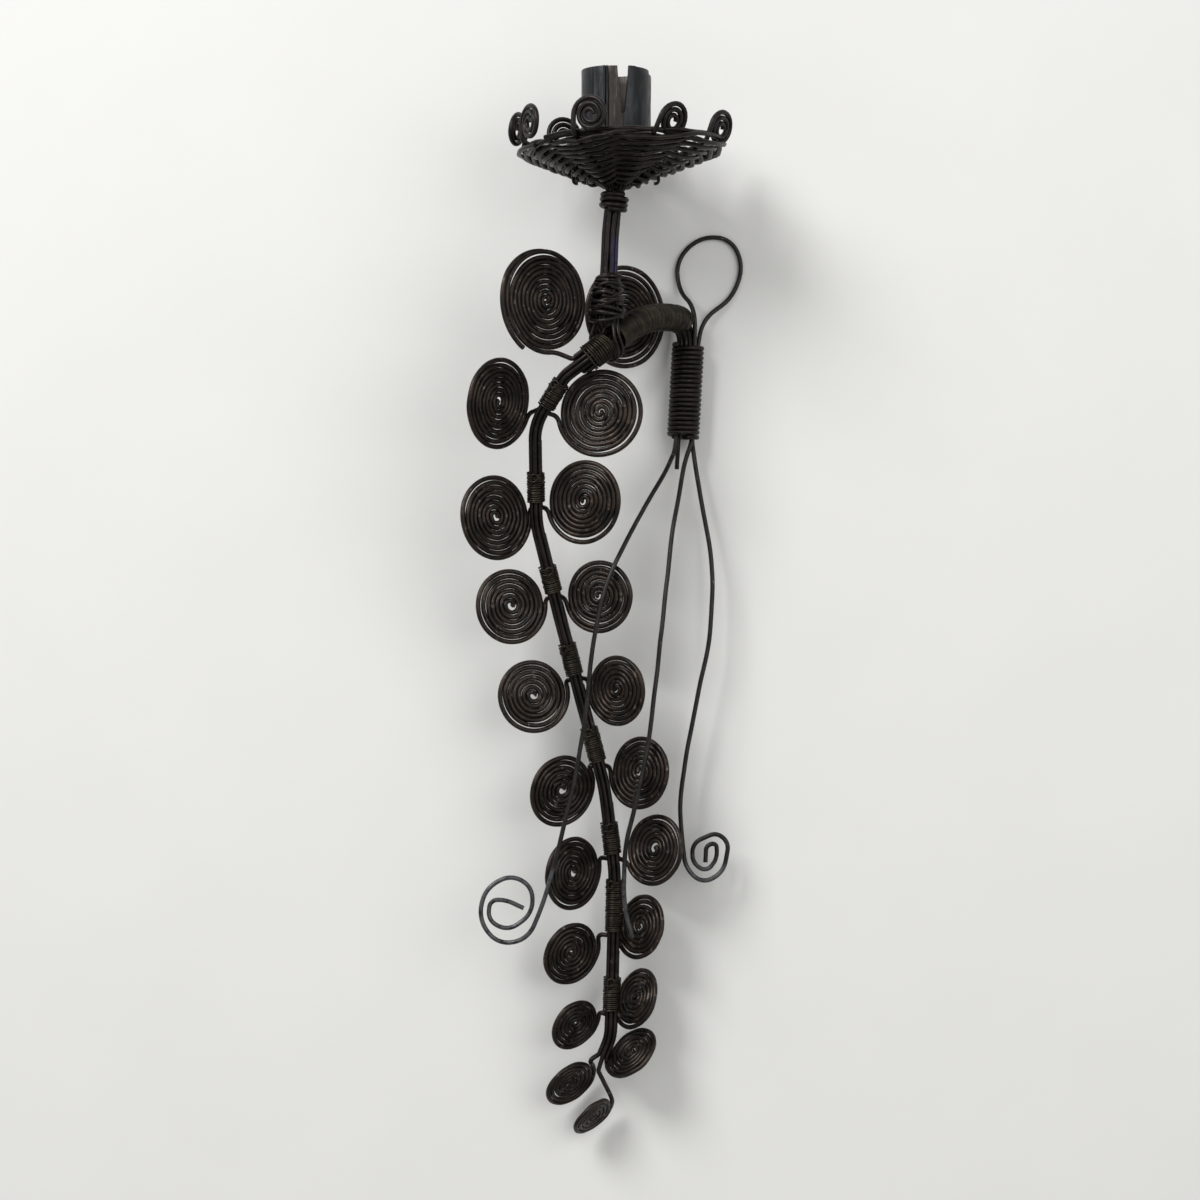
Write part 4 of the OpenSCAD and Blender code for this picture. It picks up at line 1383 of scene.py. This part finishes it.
    def build_knot(self) -> None:
        """Builds the knot of wire at the foot of the stem and the ties under the arm."""
        leg_r = self.ring_r + WIRE / 2 + TIE / 2 + LAY_GAP
        radius = math.hypot(leg_r, TIE) + TIE / 2 + WIRE / 2 + 2 * LAY_GAP
        lashings = [WireLine(self.lashing(radius, height, tilt, face, seed), thickness)
                    for height, tilt, face, seed, thickness in self.lashings]
        fit_wires("stem_knot_lashings", lashings, self.finishes.black, "stem_knot")
        bone = self.backbone
        here, heading, _ = bone.path.frame_at(self.tie_at, bone.normal)
        side = (bone.arm_side - bone.arm_side.dot(heading) * heading).normalized()
        down = side.cross(heading)
        down = down if down.z < 0 else -down
        reach = ARM_R + FINE + TIE / 2 + self.tie_slack
        wires = []
        for k in (-1, 1):
            spot = here + k * TIE * heading
            shift = k * TIE * heading
            top = self.foot + self.lean * (self.knot_base + self.knot_turns * LAY) + shift
            shoulder = self.foot + self.lean * (self.knot_base - WIRE / 2) + shift
            sides = []
            for s in (1, -1):
                leg = s * leg_r * side
                hip = spot - self.tie_hip * down + s * reach * side
                sides.append([
                    top + leg, Vector((*(shoulder + leg), self.tie_bend_r)),
                    (shoulder + leg + hip) / 2, Vector((*hip, self.tie_bend_r)),
                    spot - self.tie_run * down + s * reach * side,
                    Vector((*(spot + reach * (down + s * side)), reach))])
            points = [*sides[0], spot + reach * down, *reversed(sides[1])]
            wires.append(WireLine(BentPath(points).line(), TIE))
        fit_wires("stem_tie_wires", wires, self.finishes.black, "stem_ties")


@dataclass
class DripPan(Maker):
    """The pan: two strands woven round and round in front of the ribs and behind them."""

    stem: Stem
    first_r: float = 6.5
    row_pitch: float = 3.5
    rows: float = 9.6
    depth: float = 1.6
    twist: float = 0.9
    turn_steps: int = 64
    swings: int = 4
    first_row: float = 0.1
    left_share: float = 0.89
    right_share: float = 1.04
    borders: tuple[Point, ...] = ((33.0, -1.5, 222, 352, 1), (33.6, 1.9, 20, 215, 2))
    border_step: float = 3

    def point(self, f: float, angle: float, out: float) -> Vector:
        """Returns a spot of the pan.

        Args:
            f: The distance along the slope of a rib from the first row.
            angle: The azimuth, in degrees.
            out: The distance outwards, square to the ribs.

        Returns:
            The spot.
        """
        slope = math.radians(self.stem.slope)
        across = math.cos(math.radians(angle)) / 2 + 0.5
        f *= self.left_share + (self.right_share - self.left_share) * across
        r = self.first_r + f * math.cos(slope) + out * math.sin(slope)
        z = self.stem.rib_z + (self.first_r - self.stem.ring_r) * math.tan(slope)
        z += f * math.sin(slope) - out * math.cos(slope)
        return self.stem.pan + azimuth(angle) * r + UP * z

    def strand(self, side: int) -> list[Vector]:
        """Weaves one strand.

        Args:
            side: 1 for the strand that starts outside the ribs, and -1 for the other.

        Returns:
            The line of the wire.
        """
        points = []
        for k in range(round(self.rows * self.turn_steps) + 1):
            row = k / self.turn_steps
            swing = math.radians(self.swings * 360 * row)
            out = side * self.depth * math.cos(swing)
            f = (row + self.first_row) * self.row_pitch + side * self.twist * math.sin(swing)
            points.append(self.point(f, self.stem.phase + 360 * row, out))
        return hand_bent(points, amount=0.6, wave=5, seed=side + 3)

    def border(self, f: float, out: float, start: float, stop: float, seed: float) -> list[Vector]:
        """Lays a loose wire along the rim.

        Args:
            f: The distance along the slope of a rib from the first row.
            out: The distance outwards, square to the ribs.
            start: The azimuth where it starts, in degrees.
            stop: The azimuth where it stops, in degrees.
            seed: Number that makes it stray in its own way.

        Returns:
            The line of the wire.
        """
        count = round(abs(stop - start) / self.border_step)
        points = [self.point(f, start + (stop - start) * k / count, out) for k in range(count + 1)]
        return hand_bent(points, amount=0.9, wave=12, seed=seed)

    def build(self) -> None:
        """Builds and dresses the weave."""
        wires = [WireLine(self.strand(side)) for side in (1, -1)]
        wires += [WireLine(self.border(*border)) for border in self.borders]
        fit_wires("pan_woven_rows", wires, self.finishes.black, "pan_weave")


@dataclass
class CandleCup(Maker):
    """The cup: a rusty inner sheet, and a blue-grey outer one that laps over it."""

    pan: Vector = field(default_factory=lambda: Vector((PAN_X, PAN_Y, 0)))
    base_z: float = 19.87
    height: float = 35.5
    bore_r: float = 11.15
    sleeve_wall: float = 0.6
    shell_wall: float = 0.8
    slot_azimuth: float = -78
    lap_azimuth: float = -110.5
    slot_top: float = 3.9
    slot_foot: float = 1
    slot_depth: float = 17
    hook_tip: float = 1.7
    hook_step: float = 0.4
    sides: int = 120
    bands: int = 12
    dent: float = 0.25
    dent_seed: float = 3
    dent_size: tuple[float, float] = (9, 14)
    dent_foot: float = 0.3
    edge_share: float = 0.15
    lap_tilt: float = 20
    lap_corner: tuple[float, float] = (12.6, 2.2)
    hem_inset: float = 0.25
    hem_steps: int = 14
    hems: tuple[tuple[float, float], ...] = ((-110.5, 0.9), (-105.5, 0.6))

    def rolled(self, name: str, radius: float, wall: float) -> bpy.types.Object:
        """Rolls a sheet into a tube and cuts the V slot.

        Args:
            name: The name of the piece.
            radius: The radius of its outer face.
            wall: Its thickness.

        Returns:
            The open sheet, with no thickness yet.
        """
        select_only(None)
        place = (self.pan + UP * (self.base_z + self.height / 2)) * MM
        bpy.ops.mesh.primitive_cylinder_add(
            vertices=self.sides, radius=(radius - wall / 2) * MM, depth=self.height * MM,
            end_fill_type="NOTHING", location=place)
        sheet = bpy.context.object
        sheet.name = name
        bpy.ops.object.transform_apply(location=True, rotation=True, scale=True)
        bpy.ops.object.mode_set(mode="EDIT")
        out = azimuth(self.slot_azimuth)
        across = UP.cross(out)
        foot_z = self.base_z + self.height - self.slot_depth
        rows = [self.base_z + self.height * k / self.bands for k in range(1, self.bands)]
        for z in (*rows, foot_z):
            bpy.ops.mesh.select_all(action="SELECT")
            bpy.ops.mesh.bisect(plane_co=(0, 0, z * MM), plane_no=UP)
        flare = (self.slot_top - self.slot_foot) / 2 / self.slot_depth
        for side in (-1, 1):
            edge = self.pan + side * across * self.slot_foot / 2 + UP * foot_z
            cut = (side * across - flare * UP).normalized()
            bpy.ops.mesh.select_all(action="SELECT")
            bpy.ops.mesh.bisect(plane_co=edge * MM, plane_no=cut)
        bpy.ops.mesh.select_all(action="DESELECT")
        bpy.ops.object.mode_set(mode="OBJECT")
        for face in sheet.data.polygons:
            spot = face.center / MM - self.pan
            wide = self.slot_foot / 2 + max(0.0, spot.z - foot_z) * flare
            in_slot = spot.dot(out) > 0 and abs(spot.dot(across)) < wide and spot.z > foot_z
            face.select = in_slot or self.beyond_lap(name, spot)
        bpy.ops.object.mode_set(mode="EDIT")
        bpy.ops.mesh.delete(type="FACE")
        bpy.ops.object.mode_set(mode="OBJECT")
        round_size, up_size = self.dent_size
        for vertex in sheet.data.vertices:
            spot = vertex.co / MM
            level = (spot.z - self.base_z) / self.height
            dent = noise.noise(Vector((
                spot.x / round_size, spot.y / round_size, spot.z / up_size + self.dent_seed)))
            away = Vector((spot.x - self.pan.x, spot.y - self.pan.y, 0)).normalized()
            vertex.co += (self.dent * dent * (self.dent_foot + level)) * away * MM
        return sheet

    def beyond_lap(self, name: str, spot: Vector) -> bool:
        """Tells whether a sheet has no metal at a spot, past the lap of the outer one.

        Args:
            name: The name of the sheet.
            spot: The spot, from the foot of the cup's axis.

        Returns:
            True where the outer sheet has ended.
        """
        if name == "cup_sleeve":
            return False
        angle = math.degrees(math.atan2(spot.y, spot.x))
        return self.lap_azimuth < angle < self.slot_azimuth

    def thicken(self, sheet: bpy.types.Object, wall: float) -> None:
        """Gives a sheet its thickness and rounds its edges a little.

        Args:
            sheet: The open sheet.
            wall: Its thickness.
        """
        select_only(sheet)
        solid = sheet.modifiers.new("thickness", "SOLIDIFY")
        solid.thickness = wall * MM
        solid.offset = 0
        bevel = sheet.modifiers.new("filed_edges", "BEVEL")
        bevel.width = self.edge_share * wall * MM
        bevel.segments = 2
        bevel.limit_method = "ANGLE"
        for modifier in ("thickness", "filed_edges"):
            bpy.ops.object.modifier_apply(modifier=modifier)
        close_up(sheet, sharp=40)

    def hem(self, radius: float, angle: float) -> list[Vector]:
        """Returns the line of a folded edge that runs up the cup at an azimuth."""
        foot = self.pan + azimuth(angle) * (radius - self.hem_inset) + UP * self.base_z
        line = [foot + UP * self.height * k / self.hem_steps for k in range(self.hem_steps + 1)]
        return hand_bent(line, amount=0.22, wave=6, seed=angle)

    def trim_top(self, sheet: bpy.types.Object) -> None:
        """Cuts the right-hand top of the outer sheet on a slant.

        Args:
            sheet: The open sheet.
        """
        select_only(sheet)
        bpy.ops.object.mode_set(mode="EDIT")
        bpy.ops.mesh.select_all(action="SELECT")
        slant = math.radians(self.lap_tilt)
        out, down = self.lap_corner
        corner = self.pan + Vector((out, 0, self.base_z + self.height - down))
        normal = Vector((math.sin(slant), 0, math.cos(slant)))
        bpy.ops.mesh.bisect(plane_co=corner * MM, plane_no=normal, clear_outer=True)
        bpy.ops.object.mode_set(mode="OBJECT")

    def build(self) -> None:
        """Builds and dresses the two sheets and their hooks."""
        sleeve_r = self.bore_r + self.sleeve_wall
        sleeve = self.rolled("cup_sleeve", sleeve_r, self.sleeve_wall)
        self.thicken(sleeve, self.sleeve_wall)
        fit(sleeve, self.finishes.rusty, "candle_sleeve")
        shell_r = sleeve_r + LAY_GAP + self.shell_wall
        shell = self.rolled("cup_shell", shell_r, self.shell_wall)
        self.trim_top(shell)
        self.thicken(shell, self.shell_wall)
        fit(shell, self.finishes.blue_grey, "candle_shell")
        hems = [WireLine(self.hem(shell_r, angle), width) for angle, width in self.hems]
        fit_wires("cup_lap_hem", hems, self.finishes.blue_grey, "candle_shell")
        hooks = [WireLine(self.hook(side), TIE) for side in (-1, 1)]
        fit_wires("cup_hook_wires", hooks, self.finishes.black, "cup_hooks")

    def hook(self, side: int) -> list[Vector]:
        """Lays a hook through both sheets, down through the weave and under a woven row.

        Args:
            side: 1 for the right-hand hook and -1 for the left-hand one.

        Returns:
            The line of the hook.
        """
        low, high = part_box("cup_hooks")
        reach = (high.x - low.x) / MM / 2 - TIE / 2
        top = high.z / MM - TIE / 2
        foot = low.z / MM + TIE / 2
        points = ((self.bore_r + LAY_GAP, top), (reach, top, TIE), (reach, (top + foot) / 2),
                  (reach, foot, TIE), (reach - self.hook_tip, foot))
        return BentPath([Vector((self.pan.x + side * x, self.pan.y, z, *bend))
                         for x, z, *bend in points]).line(self.hook_step)


# Studio


@dataclass
class Studio:
    """A pale wall, soft light and the camera of the photograph."""

    eye: Vector = field(default_factory=lambda: Vector((-42.75, -1100, -135)))
    lens: float = 88.0
    sensor: float = 36
    nearest: float = 10
    wall_y: float = 1.1
    wall_size: float = 3000
    plaster: PlasterFinish = PlasterFinish("pale_plaster", (0.72, 0.72, 0.705), (0.68, 0.68, 0.665))
    lamps: tuple[tuple[str, Point, float, float], ...] = (
        ("key_lamp", (-900, -1100, 900), 700, 24), ("fill_lamp", (800, -1300, 200), 1200, 9))
    aim_y: float = -20
    room_colour: Colour = (0.98, 0.97, 0.95)
    room_light: float = 0.45

    def wall(self) -> None:
        """Builds the wall behind the sconce."""
        select_only(None)
        place = Vector((self.eye.x, self.wall_y, self.eye.z)) * MM
        bpy.ops.mesh.primitive_plane_add(size=self.wall_size * MM, location=place,
                                         rotation=(math.radians(90), 0, 0))
        wall = bpy.context.object
        wall.name = "wall"
        wall.data.materials.append(self.plaster.make())

    def lamp(self, name: str, place: Point, size: float, power: float, aim: Vector) -> None:
        """Hangs a soft square lamp.

        Args:
            name: The name of the lamp.
            place: Where it hangs, in mm.
            size: The side of its square, in mm.
            power: Its power in watts.
            aim: The point it faces.
        """
        select_only(None)
        bpy.ops.object.light_add(type="AREA", location=Vector(place) * MM)
        lamp = bpy.context.object
        lamp.name = name
        lamp.data.size = size * MM
        lamp.data.energy = power
        lamp.rotation_euler = (aim - Vector(place)).to_track_quat("-Z", "Y").to_euler()

    def build(self) -> None:
        """Sets up the wall, the lamps, the world and the camera."""
        self.wall()
        for name, place, size, power in self.lamps:
            self.lamp(name, place, size, power, Vector((self.eye.x, self.aim_y, self.eye.z)))
        scene = bpy.context.scene
        world = bpy.data.worlds.new("pale_room")
        scene.world = world
        world.use_nodes = True
        room = world.node_tree.nodes["Background"]
        room.inputs["Color"].default_value = (*self.room_colour, 1.0)
        room.inputs["Strength"].default_value = self.room_light
        select_only(None)
        bpy.ops.object.camera_add(location=self.eye * MM, rotation=(math.radians(90), 0, 0))
        camera = bpy.context.object
        camera.name = "photograph_camera"
        camera.data.lens = self.lens
        camera.data.sensor_width = self.sensor
        camera.data.clip_start = self.nearest * MM
        scene.camera = camera
        scene.view_settings.view_transform = "Standard"
        log.info("studio ready")


def main() -> None:
    """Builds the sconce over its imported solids, and the studio round it."""
    logging.basicConfig(level=logging.INFO, format="%(name)s: %(message)s")
    noise.seed_set(HAND_SEED)  # without a seed, noise_vector starts from the clock
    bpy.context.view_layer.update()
    finishes = Finishes()
    backbone = Backbone()
    Arm(backbone, finishes).build()
    Hanger(backbone, finishes).build()
    stem = Stem(backbone, finishes)
    stem.build()
    DripPan(backbone, finishes, stem).build()
    CandleCup(backbone, finishes).build()
    Bindings(backbone, finishes).build()
    Foliage(backbone, finishes).build()
    Studio().build()


if __name__ == "__main__":
    main()
